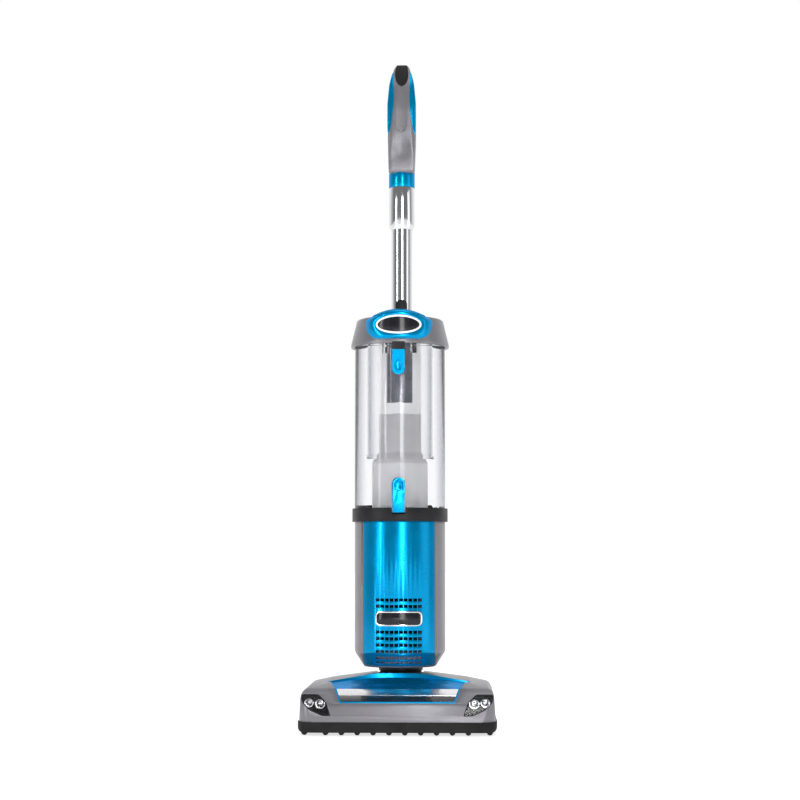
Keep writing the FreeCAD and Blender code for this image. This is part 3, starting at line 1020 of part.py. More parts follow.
# ---------------------------------------------------------------- wand and handle
STEM_WALL = 2.1
STEM_R = WAND_R + STEM_WALL
PLUG_R = 15.0               # the sleeve's plug inside the handle
PLUG_LENGTH = 22.0
RELEASE_Z = (885.0, 905.0)
RELEASE_HALF = 6.0
RELEASE_TRAVEL = 2.0
HANDLE_BOTTOM_Z = 960.0
HANDLE_WALL = 2.6
PANEL_HALF = 10.0
PAD_HALF = 12.0
PANEL_Z = (1033.0, 1118.0)
SWITCH_HALF = 8.0
SWITCH_Z = (1060.0, 1090.0)
LOOP_FRONT_Y = 107.0


def make_wand():
    save("wand_tube", pipe_z(WAND_R, WAND_R - WAND_WALL, (WAND_BOTTOM_Z, WAND_TOP_Z), 0, WAND_Y))

    plug_top = HANDLE_BOTTOM_Z + PLUG_LENGTH
    lower = turned([(0.0, SLEEVE_BOTTOM_Z), (SLEEVE_R - 2.6, SLEEVE_BOTTOM_Z),
                    (SLEEVE_R, SLEEVE_BOTTOM_Z + 8.0), (SLEEVE_R, RING_BOTTOM_Z), (STEM_R, RING_BOTTOM_Z),
                    (STEM_R, HANDLE_BOTTOM_Z), (PLUG_R, HANDLE_BOTTOM_Z), (PLUG_R, plug_top), (0.0, plug_top)],
                   0, WAND_Y)
    back = WAND_Y + SLEEVE_R + 1.8
    boss = box((-RELEASE_HALF - 3, RELEASE_HALF + 3), (WAND_Y, back),
               (RELEASE_Z[0] - 5, RELEASE_Z[1] + 5))
    pocket = box((-RELEASE_HALF - RUN, RELEASE_HALF + RUN), (WAND_Y + WAND_R + 1.3, back),
                 (RELEASE_Z[0] - RUN, RELEASE_Z[1] + RUN))
    bore = rod_z(WAND_R + FIT, (SLEEVE_BOTTOM_Z, WAND_TOP_Z + RUN), 0, WAND_Y)
    chamber = rod_z(WAND_R - WAND_WALL, (WAND_TOP_Z, HANDLE_BOTTOM_Z - 2.5), 0, WAND_Y)
    slot = box((-5.0, 5.0), (WAND_Y, WAND_Y + STEM_R + 3.0), (WAND_TOP_Z + 2.0, WAND_TOP_Z + 6.5))
    save("handle_sleeve", cut_all(lower.fuse(boss).removeSplitter(), [pocket, bore, chamber, slot]))
    ring = pipe_z(SLEEVE_R + 0.2, STEM_R + FIT, (RING_BOTTOM_Z + RUN, RING_TOP_Z + 0.2), 0, WAND_Y)
    save("bleed_ring", ring.cut(slot))
    button_y = WAND_Y + WAND_R + 1.3 + RELEASE_TRAVEL + 0.5
    save("handle_release", box((-RELEASE_HALF, RELEASE_HALF), (button_y, back + 2.5), RELEASE_Z))


SIDE = [(84.5, HANDLE_BOTTOM_Z, 2.0), (83.0, 1000.0, 60.0), (87.5, 1078.0, 120.0), (96.0, 1124.0, 60.0),
        (110.0, 1152.0, 24.0), (120.0, HANDLE_TOP_Z, 14.0), (136.0, HANDLE_TOP_Z, 14.0),
        (149.0, 1150.0, 16.0), (HANDLE_BACK_Y - 6.0, 1119.0, 50.0), (HANDLE_BACK_Y, 1080.0, 40.0),
        (HANDLE_BACK_Y - 3.5, 1036.0, 70.0), (151.0, 1003.0, 50.0), (137.0, 981.0, 30.0),
        (129.5, HANDLE_BOTTOM_Z, 2.0)]
LOOP = [(LOOP_FRONT_Y + 1.0, 1012.0, 8.0), (126.0, 1003.0, 9.0), (139.0, 1026.0, 30.0),
        (143.0, 1078.0, 90.0), (137.0, 1118.0, 24.0), (124.0, 1135.0, 9.0), (112.0, 1118.0, 16.0),
        (LOOP_FRONT_Y, 1078.0, 90.0)]
FRONT_HALF = [(22.4, HANDLE_BOTTOM_Z, 2.0), (HANDLE_HALF, 1020.0, 90.0), (HANDLE_HALF, 1085.0, 90.0),
              (19.5, 1135.0, 60.0), (12.5, HANDLE_TOP_Z, 7.0)]


def solid_of(points, place, way, grow):
    """An outline grown outward by `grow` (inward if negative), drawn out along `way`."""
    wire = outline(points, place)
    if grow:
        wire = wire.makeOffset2D(grow)
    return Part.Face(wire).extrude(way)


def handle_form(inset):
    half = HANDLE_HALF + 2.0
    side = solid_of(SIDE, lambda u, v: V(-half, u, v), V(2 * half, 0, 0), -inset)
    front = solid_of(mirrored_points(FRONT_HALF), lambda u, v: V(u, 60.0, v), V(0, 120.0, 0), -inset)
    loop = solid_of(LOOP, lambda u, v: V(-half, u, v), V(2 * half, 0, 0), inset)
    return side.common(front).cut(loop)


def make_handle():
    outer = handle_form(0.0)
    skin = outer.cut(handle_form(1.4))
    panel = prism_y([(-PANEL_HALF, PANEL_Z[0], 4.0), (PANEL_HALF, PANEL_Z[0], 4.0),
                     (PANEL_HALF - 1, PANEL_Z[1]), (-PANEL_HALF + 1, PANEL_Z[1])], (60.0, LOOP_FRONT_Y - 8.0))
    pad = prism_x([(80.0, PANEL_Z[1]), (104.0, PANEL_Z[1]), (122.0, 1148.0), (134.0, 1148.0),
                   (134.0, HANDLE_TOP_Z + 8.0), (80.0, HANDLE_TOP_Z + 8.0)], (-PAD_HALF, PAD_HALF))
    inlay = prism_x([(90.5, 1036.0, 3.0), (103.0, 1036.0, 3.0), (103.0, 1080.0), (109.0, 1122.0),
                     (118.0, 1142.0, 2.0), (112.0, 1146.0, 2.0), (99.0, 1118.0), (92.0, 1080.0)],
                    (12.0, HANDLE_HALF + 3))
    loose = [panel.common(skin), pad.common(skin), inlay.common(skin)]
    save("handle_panel", loose[0])
    save("handle_pad", loose[1])
    save("handle_inlays", *both_sides(loose[2]))
    neck = rod_z(PLUG_R, (HANDLE_BOTTOM_Z, HANDLE_BOTTOM_Z + PLUG_LENGTH), 0, WAND_Y)
    opening = box((-SWITCH_HALF - RUN, SWITCH_HALF + RUN), (LOOP_FRONT_Y - 6.0, LOOP_FRONT_Y + 6.0),
                  (SWITCH_Z[0] - RUN, SWITCH_Z[1] + RUN))
    hollow = handle_form(HANDLE_WALL)
    shell = cut_all(outer, [hollow, neck, opening, loose[0], loose[1], loose[2], mirror_x(loose[2])])
    for name, x in (("left", (-50.0, 0.0)), ("right", (0.0, 50.0))):
        half = box(x, (60.0, 180.0), (HANDLE_BOTTOM_Z, HANDLE_TOP_Z + 5))
        save("handle_shell_" + name, shell.common(half))
    save("power_switch", box((-SWITCH_HALF, SWITCH_HALF), (LOOP_FRONT_Y - 7.0, LOOP_FRONT_Y + 2.5), SWITCH_Z))


if __name__ == "__main__":
    make_head_covers()
    make_head_base()
    make_head_wheels()
    make_brush()
    make_brush_motor()
    make_head_duct()
    make_neck()
    make_rear_duct()
    make_pod()
    make_motor()
    make_cup()
    make_lid()
    make_wand()
    make_handle()
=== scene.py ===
# %% [markdown]
# # An upright vacuum cleaner, piece by piece
#
# The CAD model already holds every size of this machine: the floor head, the motor pod, the clear dust cup,
# the tube and the loop handle. Here we give it its looks. We load the imported model, set a camera and soft
# lights around it, paint every part with a procedural finish, and model again the pieces whose
# real shape is softer or finer than plain CAD solids.

# %% Load the frame
import json
import math

import bpy
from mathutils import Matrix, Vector


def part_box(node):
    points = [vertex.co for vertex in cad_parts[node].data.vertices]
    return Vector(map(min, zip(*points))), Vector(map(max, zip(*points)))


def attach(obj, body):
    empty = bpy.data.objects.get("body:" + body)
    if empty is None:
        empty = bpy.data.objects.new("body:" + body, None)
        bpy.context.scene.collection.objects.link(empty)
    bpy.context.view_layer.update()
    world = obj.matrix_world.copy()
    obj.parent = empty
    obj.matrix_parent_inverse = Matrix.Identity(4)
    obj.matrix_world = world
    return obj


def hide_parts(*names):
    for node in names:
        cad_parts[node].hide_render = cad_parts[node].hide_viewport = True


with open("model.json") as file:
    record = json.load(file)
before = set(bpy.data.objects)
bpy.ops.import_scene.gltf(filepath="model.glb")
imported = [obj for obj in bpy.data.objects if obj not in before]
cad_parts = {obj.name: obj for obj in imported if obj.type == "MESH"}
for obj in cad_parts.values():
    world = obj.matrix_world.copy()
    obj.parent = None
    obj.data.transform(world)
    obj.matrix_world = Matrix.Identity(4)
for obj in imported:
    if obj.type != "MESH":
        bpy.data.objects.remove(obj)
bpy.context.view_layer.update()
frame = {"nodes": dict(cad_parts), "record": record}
body_of = {node: body for body, nodes in frame["record"]["behaviour"]["bodies"].items() for node in nodes}
slot_of = {part["node"]: part["material_slot"] for part in frame["record"]["subparts"]}

# %% [markdown]
# ## Selecting by code
#
# An operator in Blender acts on whatever is selected, and loading the model leaves all of it selected. So
# every piece below starts with nothing selected. These small helpers do what the mouse would do: pick one
# object, pick faces by where they are, and press an object's place into its mesh when it is done.

# %% Selection helpers
MM = 0.001


def only(piece):
    """Selects this object alone and makes it the active one."""
    bpy.ops.object.select_all(action="DESELECT")
    piece.select_set(True)
    bpy.context.view_layer.objects.active = piece
    return piece


def nothing():
    bpy.ops.object.select_all(action="DESELECT")


def added(name):
    """Names the primitive that was just added and presses its place into its mesh."""
    piece = bpy.context.active_object
    piece.name = name
    piece.data.name = name
    bpy.ops.object.transform_apply(location=True, rotation=True, scale=True)
    return piece


def edit(piece):
    """Opens one object in edit mode, ready to pick faces, with nothing selected."""
    only(piece)
    bpy.ops.object.mode_set(mode="EDIT")
    bpy.ops.mesh.select_mode(type="FACE")
    bpy.ops.mesh.select_all(action="DESELECT")


def done():
    bpy.ops.object.mode_set(mode="OBJECT")


def pick_faces(piece, wanted):
    """Selects the faces whose centre and normal pass the test; the object is open in edit mode."""
    bpy.ops.object.mode_set(mode="OBJECT")
    for face in piece.data.polygons:
        face.select = wanted(face.center, face.normal)
    bpy.ops.object.mode_set(mode="EDIT")


def apply_all(piece):
    """Applies the piece's modifiers, from the top of the stack down."""
    only(piece)
    for modifier in list(piece.modifiers):
        bpy.ops.object.modifier_apply(modifier=modifier.name)


def smooth(piece, degrees=35.0):
    only(piece)
    bpy.ops.object.shade_smooth_by_angle(angle=math.radians(degrees))


# %% [markdown]
# ## The camera
#
# The machine is shown as a catalogue shows it: from the front, low and far away, so that upright lines stay
# upright. A long lens keeps the perspective flat. The camera stands a little to the machine's right and
# looks up by five degrees, because it stands lower than the handle that it has to take in.

# %% Camera
CAMERA_DISTANCE = 3.0
CAMERA_HEIGHT = 0.281
CAMERA_YAW = math.radians(1.75)
CAMERA_PITCH = math.radians(5.078)
CAMERA_LENS = 79.76

nothing()
bpy.ops.object.camera_add(
    location=(CAMERA_DISTANCE * math.sin(CAMERA_YAW), -CAMERA_DISTANCE * math.cos(CAMERA_YAW), CAMERA_HEIGHT),
    rotation=(math.radians(90.0) + CAMERA_PITCH, 0.0, CAMERA_YAW))
camera = bpy.context.active_object
camera.data.lens = CAMERA_LENS
camera.data.clip_end = 60.0
bpy.context.scene.camera = camera
print("camera at", [round(c, 3) for c in camera.location])

# %% [markdown]
# ## Floor and light
#
# A pale floor and a pale world are enough of a studio. The world is brightest behind the machine and greyer
# behind the camera, because polished plastic needs something darker to reflect or it loses its shape. Big
# area lamps then draw the soft upright highlights on the round pod and on the tube.

# %% Floor
FLOOR_SIZE = 60.0
FLOOR_GLOW = 0.7           # lifts the far floor to the white of the background

nothing()
bpy.ops.mesh.primitive_plane_add(size=FLOOR_SIZE, location=(0.0, 0.0, 0.0))
floor = added("studio_floor")
floor_paint = bpy.data.materials.new("studio_floor_paint")
floor_paint.use_nodes = True
floor_shader = floor_paint.node_tree.nodes["Principled BSDF"]
floor_shader.inputs["Base Color"].default_value = (0.55, 0.55, 0.56, 1.0)
floor_shader.inputs["Roughness"].default_value = 0.55
floor_shader.inputs["Emission Color"].default_value = (1.0, 1.0, 1.0, 1.0)
floor_shader.inputs["Emission Strength"].default_value = FLOOR_GLOW
floor.data.materials.append(floor_paint)

# %% World
WORLD_FRONT = 0.2          # what the machine's front reflects
WORLD_BACK = 1.0            # what the camera sees behind the machine

world = bpy.data.worlds.new("studio_world")
bpy.context.scene.world = world
world.use_nodes = True
tree = world.node_tree
background = tree.nodes["Background"]
direction = tree.nodes.new("ShaderNodeTexCoord")
parts = tree.nodes.new("ShaderNodeSeparateXYZ")
fade = tree.nodes.new("ShaderNodeMapRange")
fade.interpolation_type = "SMOOTHSTEP"
fade.inputs["From Min"].default_value = -0.3
fade.inputs["From Max"].default_value = 0.75
fade.inputs["To Min"].default_value = WORLD_FRONT
fade.inputs["To Max"].default_value = WORLD_BACK
tree.links.new(direction.outputs["Generated"], parts.inputs["Vector"])
tree.links.new(parts.outputs["Y"], fade.inputs["Value"])
tree.links.new(fade.outputs["Result"], background.inputs["Color"])
background.inputs["Strength"].default_value = 1.0
bpy.context.scene.view_settings.view_transform = "Standard"

# %% Lamps
LAMPS = [
    # name, place, width, height, watts
    ("key_front", (0.35, -2.6, 1.0), 0.5, 2.0, 24.0),
    ("strip_left", (-2.1, -1.7, 0.9), 0.35, 2.0, 20.0),
    ("panel_right", (2.3, -0.9, 0.9), 1.0, 2.4, 8.0),
    ("top", (0.2, -0.5, 2.9), 1.6, 1.6, 12.0),
    ("low_front", (0.1, -2.6, 0.12), 1.6, 0.16, 3.0),
]
LIT_POINT = Vector((0.0, 0.0, 0.5))


def area_lamp(name, place, width, height, watts):
    nothing()
    bpy.ops.object.light_add(type="AREA", location=place)
    lamp = bpy.context.active_object
    lamp.name = name
    lamp.data.shape = "RECTANGLE"
    lamp.data.size = width
    lamp.data.size_y = height
    lamp.data.energy = watts
    lamp.rotation_euler = (LIT_POINT - Vector(place)).to_track_quat("-Z", "Y").to_euler()
    return lamp


for row in LAMPS:
    area_lamp(*row)
print("lamps:", len(LAMPS))

# %% [markdown]
# ## Finishes
#
# Nearly all of this machine is moulded plastic, and moulded plastic is never one flat colour: it has a fine
# grain from the mould, a slight cloudiness, and a gloss that changes where hands and dust have been. Each
# finish starts from one Principled shader. What is the same all over is set on the shader itself, and three
# small helpers add what varies: a mottle in the colour, a drift in the roughness and a grain in the surface.
# All of them read Object coordinates, so the pattern has its real scale and stays on the piece.

# %% Helpers for finishes
def finish(name, colour, roughness, metallic=0.0, **inputs):
    """A material with one Principled shader; further inputs are given as Coat_Weight=0.5 and so on."""
    material = bpy.data.materials.new(name)
    material.use_nodes = True
    shader = material.node_tree.nodes["Principled BSDF"]
    shader.inputs["Base Color"].default_value = (*colour, 1.0)
    shader.inputs["Roughness"].default_value = roughness
    shader.inputs["Metallic"].default_value = metallic
    for key, value in inputs.items():
        shader.inputs[key.replace("_", " ")].default_value = value
    return material


def noise_of(material, scale, detail=2.0, stretch=(1.0, 1.0, 1.0)):
    """A noise over the piece; stretch makes it longer (under 1) or shorter (over 1) along an axis."""
    nodes, links = material.node_tree.nodes, material.node_tree.links
    where = nodes.new("ShaderNodeTexCoord")
    mapping = nodes.new("ShaderNodeMapping")
    mapping.inputs["Scale"].default_value = stretch
    noise = nodes.new("ShaderNodeTexNoise")
    noise.inputs["Scale"].default_value = scale
    noise.inputs["Detail"].default_value = detail
    links.new(where.outputs["Object"], mapping.inputs["Vector"])
    links.new(mapping.outputs["Vector"], noise.inputs["Vector"])
    return noise


def mottle(material, dark, light, scale, detail=3.0, stretch=(1.0, 1.0, 1.0)):
    """Lets the base colour wander between two close colours."""
    nodes, links = material.node_tree.nodes, material.node_tree.links
    ramp = nodes.new("ShaderNodeValToRGB")
    ramp.color_ramp.elements[0].position = 0.3
    ramp.color_ramp.elements[1].position = 0.7
    ramp.color_ramp.elements[0].color = (*dark, 1.0)
    ramp.color_ramp.elements[1].color = (*light, 1.0)
    links.new(noise_of(material, scale, detail, stretch).outputs["Fac"], ramp.inputs["Fac"])
    links.new(ramp.outputs["Color"], nodes["Principled BSDF"].inputs["Base Color"])


def gloss_drift(material, low, high, scale, stretch=(1.0, 1.0, 1.0)):
    """Lets the roughness wander between two values."""
    nodes, links = material.node_tree.nodes, material.node_tree.links
    spread = nodes.new("ShaderNodeMapRange")
    spread.inputs["From Min"].default_value = 0.3
    spread.inputs["From Max"].default_value = 0.7
    spread.inputs["To Min"].default_value = low
    spread.inputs["To Max"].default_value = high
    links.new(noise_of(material, scale, 3.0, stretch).outputs["Fac"], spread.inputs["Value"])
    links.new(spread.outputs["Result"], nodes["Principled BSDF"].inputs["Roughness"])


def grain(material, scale, height, detail=2.0, stretch=(1.0, 1.0, 1.0), strength=0.5):
    """A fine bump; height is in metres."""
    nodes, links = material.node_tree.nodes, material.node_tree.links
    bump = nodes.new("ShaderNodeBump")
    bump.inputs["Distance"].default_value = height
    bump.inputs["Strength"].default_value = strength
    links.new(noise_of(material, scale, detail, stretch).outputs["Fac"], bump.inputs["Height"])
    links.new(bump.outputs["Normal"], nodes["Principled BSDF"].inputs["Normal"])


# %% [markdown]
# ### Painted plastics
#
# The covers are moulded with metallic flake in the plastic: a mid grey and a bright cyan blue. The flake shows
# as a very fine mottle. The grey has a satin gloss. The blue has a harder one, and its specular tint is
# blue too, because white reflections at a flat angle would wash its colour out.

# %% Grey and blue metallic plastic
def grey_metallic():
    material = finish("grey_metallic_plastic", (0.2, 0.195, 0.215), 0.36, 0.45, Coat_Weight=0.25,
                      Coat_Roughness=0.3)
    mottle(material, (0.175, 0.17, 0.19), (0.24, 0.235, 0.255), 1400.0, 2.0)
    gloss_drift(material, 0.31, 0.42, 30.0)
    grain(material, 2600.0, 0.00003)
    return material


def blue_metallic():
    material = finish("blue_metallic_plastic", (0.0, 0.3, 0.6), 0.27, 0.7, Coat_Weight=0.08,
                      Coat_Roughness=0.06, Specular_IOR_Level=0.3, Specular_Tint=(0.12, 0.6, 1.0, 1.0))
    mottle(material, (0.0, 0.25, 0.53), (0.0, 0.34, 0.67), 1500.0, 2.0)
    gloss_drift(material, 0.2, 0.3, 26.0)
    return material


# %% [markdown]
# ### Black plastic, rubber and bristle
#
# The frame, the rim and the duct are black plastic with a spark-eroded grain. The bumper and the seals are
# soft rubber: duller, a little dusty, with no clear highlight at all.

# %% Dark finishes
def black_plastic():
    material = finish("black_grained_plastic", (0.01, 0.01, 0.012), 0.42, Specular_IOR_Level=0.25)
    mottle(material, (0.007, 0.007, 0.009), (0.014, 0.014, 0.016), 60.0)
    gloss_drift(material, 0.36, 0.5, 45.0)
    grain(material, 1500.0, 0.00008)
    return material


def dark_gloss():
    material = finish("dark_gloss_plastic", (0.012, 0.012, 0.016), 0.16, Specular_IOR_Level=0.35)
    mottle(material, (0.008, 0.008, 0.011), (0.018, 0.018, 0.023), 70.0)
    gloss_drift(material, 0.12, 0.22, 40.0)
    return material


def black_rubber():
    material = finish("black_rubber", (0.012, 0.012, 0.013), 0.75, Specular_IOR_Level=0.25)
    mottle(material, (0.008, 0.008, 0.009), (0.018, 0.018, 0.018), 35.0, 5.0)
    gloss_drift(material, 0.62, 0.85, 70.0)
    grain(material, 900.0, 0.00012)
    return material


def bristle():
    material = finish("black_nylon", (0.02, 0.02, 0.022), 0.38)
    mottle(material, (0.012, 0.012, 0.013), (0.05, 0.05, 0.053), 320.0)
    gloss_drift(material, 0.3, 0.48, 300.0)
    return material


# %% [markdown]
# ### Clear, frosted and smoked plastic
#
# The cup is clear polycarbonate: full transmission, and only a breath of scuffing in the roughness. Its index
# is set low, so that what stands inside isn't bent out of place, and painted shade darkens its colour where we
# look along the wall, in place of the dark bands that a clear wall shows edge on. The outlet core inside it is
# the same plastic with a matt skin, which scatters the light and turns it milky. Light that the cup's wall
# would carry inside is given back as a faint painted glow of the core and the sleeve, because a path through
# so many clear walls is too long to trace. The brush window is tinted so dark that it looks black until light
# comes through it.

# %% See-through finishes
EDGE_SHADE_STARTS, EDGE_SHADE_ENDS = 0.35, 0.85     # 0 is a wall seen face on, 1 a wall seen along its surface


def painted_edge_shade(material, facing, edge_on):
    """Painted shade: the base colour darkens where we look along the clear wall, following the angle of view.
    """
    nodes, links = material.node_tree.nodes, material.node_tree.links
    angle = nodes.new("ShaderNodeLayerWeight")
    angle.inputs["Blend"].default_value = 0.5
    ramp = nodes.new("ShaderNodeValToRGB")
    ramp.color_ramp.elements[0].position = EDGE_SHADE_STARTS
    ramp.color_ramp.elements[1].position = EDGE_SHADE_ENDS
    ramp.color_ramp.elements[0].color = (*facing, 1.0)
    ramp.color_ramp.elements[1].color = (*edge_on, 1.0)
    links.new(angle.outputs["Facing"], ramp.inputs["Fac"])
    links.new(ramp.outputs["Color"], nodes["Principled BSDF"].inputs["Base Color"])


def clear_plastic():
    material = finish("clear_polycarbonate", (0.97, 0.98, 0.985), 0.03, Transmission_Weight=1.0, IOR=1.3)
    gloss_drift(material, 0.015, 0.05, 22.0, (1.0, 1.0, 0.4))
    # painted shade: near white where the wall faces us, blue-grey where we look along it
    painted_edge_shade(material, (0.955, 0.955, 0.965), (0.34, 0.35, 0.43))
    return material


def frosted_plastic():
    # The faint emission is a painted glow of the core, given back for light the cup's wall would carry inside.
    material = finish("frosted_plastic", (0.8, 0.8, 0.82), 0.5, Transmission_Weight=0.25, IOR=1.45,
                      Emission_Color=(1.0, 1.0, 1.0, 1.0), Emission_Strength=0.05)
    mottle(material, (0.76, 0.76, 0.785), (0.83, 0.83, 0.85), 40.0)
    gloss_drift(material, 0.42, 0.58, 60.0)
    grain(material, 1800.0, 0.00004)
    return material


def smoked_plastic():
    material = finish("smoked_plastic", (0.03, 0.03, 0.035), 0.05, Transmission_Weight=0.5, IOR=1.5)
    gloss_drift(material, 0.03, 0.09, 30.0)
    return material


# %% [markdown]
# ### Metals
#
# The tube is drawn and polished, so its tiny marks run along it. The trim strip is plated plastic, a little
# softer. Shafts and screws are ground steel.

# %% Bright finishes
def polished_tube():
    material = finish("polished_tube", (0.78, 0.79, 0.81), 0.1, 1.0)
    mottle(material, (0.72, 0.73, 0.75), (0.82, 0.83, 0.85), 260.0, 3.0, (1.0, 1.0, 0.03))
    gloss_drift(material, 0.07, 0.15, 420.0, (1.0, 1.0, 0.02))
    return material


def satin_chrome():
    material = finish("satin_chrome", (0.83, 0.83, 0.85), 0.16, 1.0)
    mottle(material, (0.79, 0.79, 0.81), (0.87, 0.87, 0.89), 90.0)
    gloss_drift(material, 0.12, 0.22, 50.0)
    return material


def steel():
    material = finish("ground_steel", (0.5, 0.5, 0.52), 0.32, 1.0)
    mottle(material, (0.42, 0.42, 0.44), (0.58, 0.58, 0.6), 300.0, 3.0, (0.1, 1.0, 1.0))
    gloss_drift(material, 0.24, 0.42, 400.0, (0.1, 1.0, 1.0))
    grain(material, 900.0, 0.00003, 2.0, (0.1, 1.0, 1.0))
    return material


# %% [markdown]
# ### White and grey mouldings, foam, paper and windings
#
# Inside the cup stand a white outlet sleeve and a grey-blue guide tube. Behind the covers are open-cell foam,
# filter paper dark with charcoal, and the motor's copper and iron. The foam's cells come from a Voronoi
# pattern, which is how cells pack; the laminations are fine stripes up the motor.

# %% White, grey and filter finishes
def white_plastic():
    # The emission makes every white moulding glow faintly: painted light, given back for the light that the
    # cup's clear walls would carry inside.
    material = finish("white_plastic", (0.86, 0.865, 0.88), 0.33,
                      Emission_Color=(1.0, 1.0, 1.0, 1.0), Emission_Strength=0.2)
    mottle(material, (0.83, 0.835, 0.85), (0.89, 0.895, 0.91), 50.0)
    gloss_drift(material, 0.27, 0.4, 40.0)
    grain(material, 1700.0, 0.00003)
    return material


def grey_tube():
    material = finish("grey_tube_plastic", (0.1, 0.13, 0.19), 0.3)
    mottle(material, (0.085, 0.115, 0.17), (0.12, 0.15, 0.21), 45.0)
    gloss_drift(material, 0.24, 0.36, 50.0)
    grain(material, 1600.0, 0.00003)
    return material


def foam():
    material = finish("open_cell_foam", (0.05, 0.05, 0.055), 0.95)
    mottle(material, (0.02, 0.02, 0.022), (0.09, 0.09, 0.095), 500.0, 4.0)
    nodes, links = material.node_tree.nodes, material.node_tree.links
    where = nodes.new("ShaderNodeTexCoord")
    cells = nodes.new("ShaderNodeTexVoronoi")
    cells.inputs["Scale"].default_value = 650.0
    bump = nodes.new("ShaderNodeBump")
    bump.inputs["Distance"].default_value = 0.0008
    links.new(where.outputs["Object"], cells.inputs["Vector"])
    links.new(cells.outputs["Distance"], bump.inputs["Height"])
    links.new(bump.outputs["Normal"], nodes["Principled BSDF"].inputs["Normal"])
    return material


def filter_paper():
    material = finish("filter_paper", (0.05, 0.05, 0.055), 0.9)
    mottle(material, (0.035, 0.035, 0.04), (0.07, 0.07, 0.075), 180.0, 6.0)
    grain(material, 1400.0, 0.00015, 4.0)
    return material


def motor_core():
    material = finish("laminated_iron", (0.35, 0.2, 0.12), 0.45, 0.8)
    nodes, links = material.node_tree.nodes, material.node_tree.links
    where = nodes.new("ShaderNodeTexCoord")
    layers = nodes.new("ShaderNodeTexWave")
    layers.bands_direction = "Z"
    layers.inputs["Scale"].default_value = 300.0
    ramp = nodes.new("ShaderNodeValToRGB")
    ramp.color_ramp.elements[0].color = (0.16, 0.15, 0.15, 1.0)
    ramp.color_ramp.elements[1].color = (0.5, 0.27, 0.14, 1.0)
    links.new(where.outputs["Object"], layers.inputs["Vector"])
    links.new(layers.outputs["Fac"], ramp.inputs["Fac"])
    links.new(ramp.outputs["Color"], nodes["Principled BSDF"].inputs["Base Color"])
    gloss_drift(material, 0.35, 0.55, 200.0)
    return material


# %% [markdown]
# ### Painting the CAD nodes
#
# The record names one slot for every node, so painting the whole machine is a loop. Pieces that we model
# again further down will take their finish from the same dictionary.

# %% Paint every node
FINISHES = {make.__name__: make() for make in (
    grey_metallic, blue_metallic, black_plastic, black_rubber, bristle, clear_plastic, frosted_plastic,
    smoked_plastic, polished_tube, satin_chrome, steel, white_plastic, grey_tube, foam, filter_paper,
    motor_core, dark_gloss)}

for node, part in frame["nodes"].items():
    part.data.materials.clear()
    part.data.materials.append(FINISHES[slot_of[node]])
print("finishes:", len(FINISHES))

# %% [markdown]
# ## Softened copies of the moulded pieces
#
# No moulding has a knife-sharp edge: the mould is rounded, and the round catches a thin line of light. That
# line is what makes plastic look solid. So the covers are copied from the CAD, their triangles are merged
# back into whole faces, and a small bevel rounds every edge sharper than thirty-two degrees.

# %% Helpers that hand a piece over and finish a copy of a node
MERGE_DISTANCE = 0.00002
FLAT_ENOUGH = math.radians(0.4)
EDGE_ANGLE = math.radians(32.0)


def hand_over(piece, body, slot, *nodes):
    """Gives a piece its finish, puts it on its body and hides the CAD nodes that it stands for."""
    piece.data.materials.clear()
    piece.data.materials.append(FINISHES[slot])
    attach(piece, body)
    if nodes:
        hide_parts(*nodes)


def finished_copy(node, round_mm, segments=2):
    """A copy of a CAD node with merged faces and rounded edges, which stands for the node."""
    piece = frame["nodes"][node].copy()
    piece.data = piece.data.copy()
    piece.parent = None
    for key in list(piece.keys()):
        del piece[key]
    bpy.context.scene.collection.objects.link(piece)
    piece.name = node + "_moulding"
    only(piece)
    bpy.ops.mesh.customdata_custom_splitnormals_clear()
    bpy.ops.object.mode_set(mode="EDIT")
    bpy.ops.mesh.select_all(action="SELECT")
    bpy.ops.mesh.remove_doubles(threshold=MERGE_DISTANCE)
    bpy.ops.mesh.dissolve_limited(angle_limit=FLAT_ENOUGH)
    bpy.ops.object.mode_set(mode="OBJECT")
    if round_mm:
        bevel = piece.modifiers.new("rounded_edges", "BEVEL")
        bevel.width = round_mm * MM
        bevel.segments = segments
        bevel.limit_method = "ANGLE"
        bevel.angle_limit = EDGE_ANGLE
        apply_all(piece)
    smooth(piece, 30.0)
    hand_over(piece, body_of[node], slot_of[node], node)
    return piece


# %% Round the mouldings
ROUNDED = {
    "head_cover": 1.2, "head_scoop": 0.5, "window_strip": 0.4, "brush_window": 0.3, "head_bumper": 0.9,
    "headlight_housings": 0.4, "head_base": 0.5, "neck": 0.8, "air_elbow": 0.8, "pod_housing": 0.5,
    "front_cover": 0.3, "pod_rim": 0.8, "air_duct_front": 0.8, "air_duct_rear": 0.8,
    "accessory_peg": 0.8, "cord_hook": 1.0, "wand_latch": 0.8, "dust_cup": 0.4, "lid_cap": 1.0,
    "shroud": 0.3, "handle_sleeve": 0.4, "bleed_ring": 0.5, "handle_release": 0.8,
    "power_switch": 1.0, "rear_wheel_left": 0.8, "rear_wheel_right": 0.8, "front_roller_left": 0.6,
    "front_roller_right": 0.6, "cup_latch": 0.6,
}
for node, round_mm in ROUNDED.items():
    piece = finished_copy(node, round_mm)
    print(node, len(piece.data.polygons))

# %% [markdown]
# ## Rings and skins that follow a path
#
# A grip or a crown is a closed ring whose cross-section changes on the way round. A torus has exactly that
# network of faces, so it is the best primitive to start from: we add one and then move every row of its
# points to its station. Thin inlays lie on such a form like a skin, so they start as a flat grid, are laid
# on the surface and get their thickness from a Solidify modifier.

# %% Ring and skin helpers
def shaped_ring(name, around, across, place):
    """A torus whose points are moved to place(row, column)."""
    nothing()
    bpy.ops.mesh.primitive_torus_add(major_segments=around, minor_segments=across, major_radius=0.1,
                                     minor_radius=0.02)
    piece = added(name)
    for index, point in enumerate(piece.data.vertices):
        point.co = place(index // across, index % across)
    edit(piece)
    bpy.ops.mesh.select_all(action="SELECT")
    bpy.ops.mesh.normals_make_consistent(inside=False)
    done()
    return piece


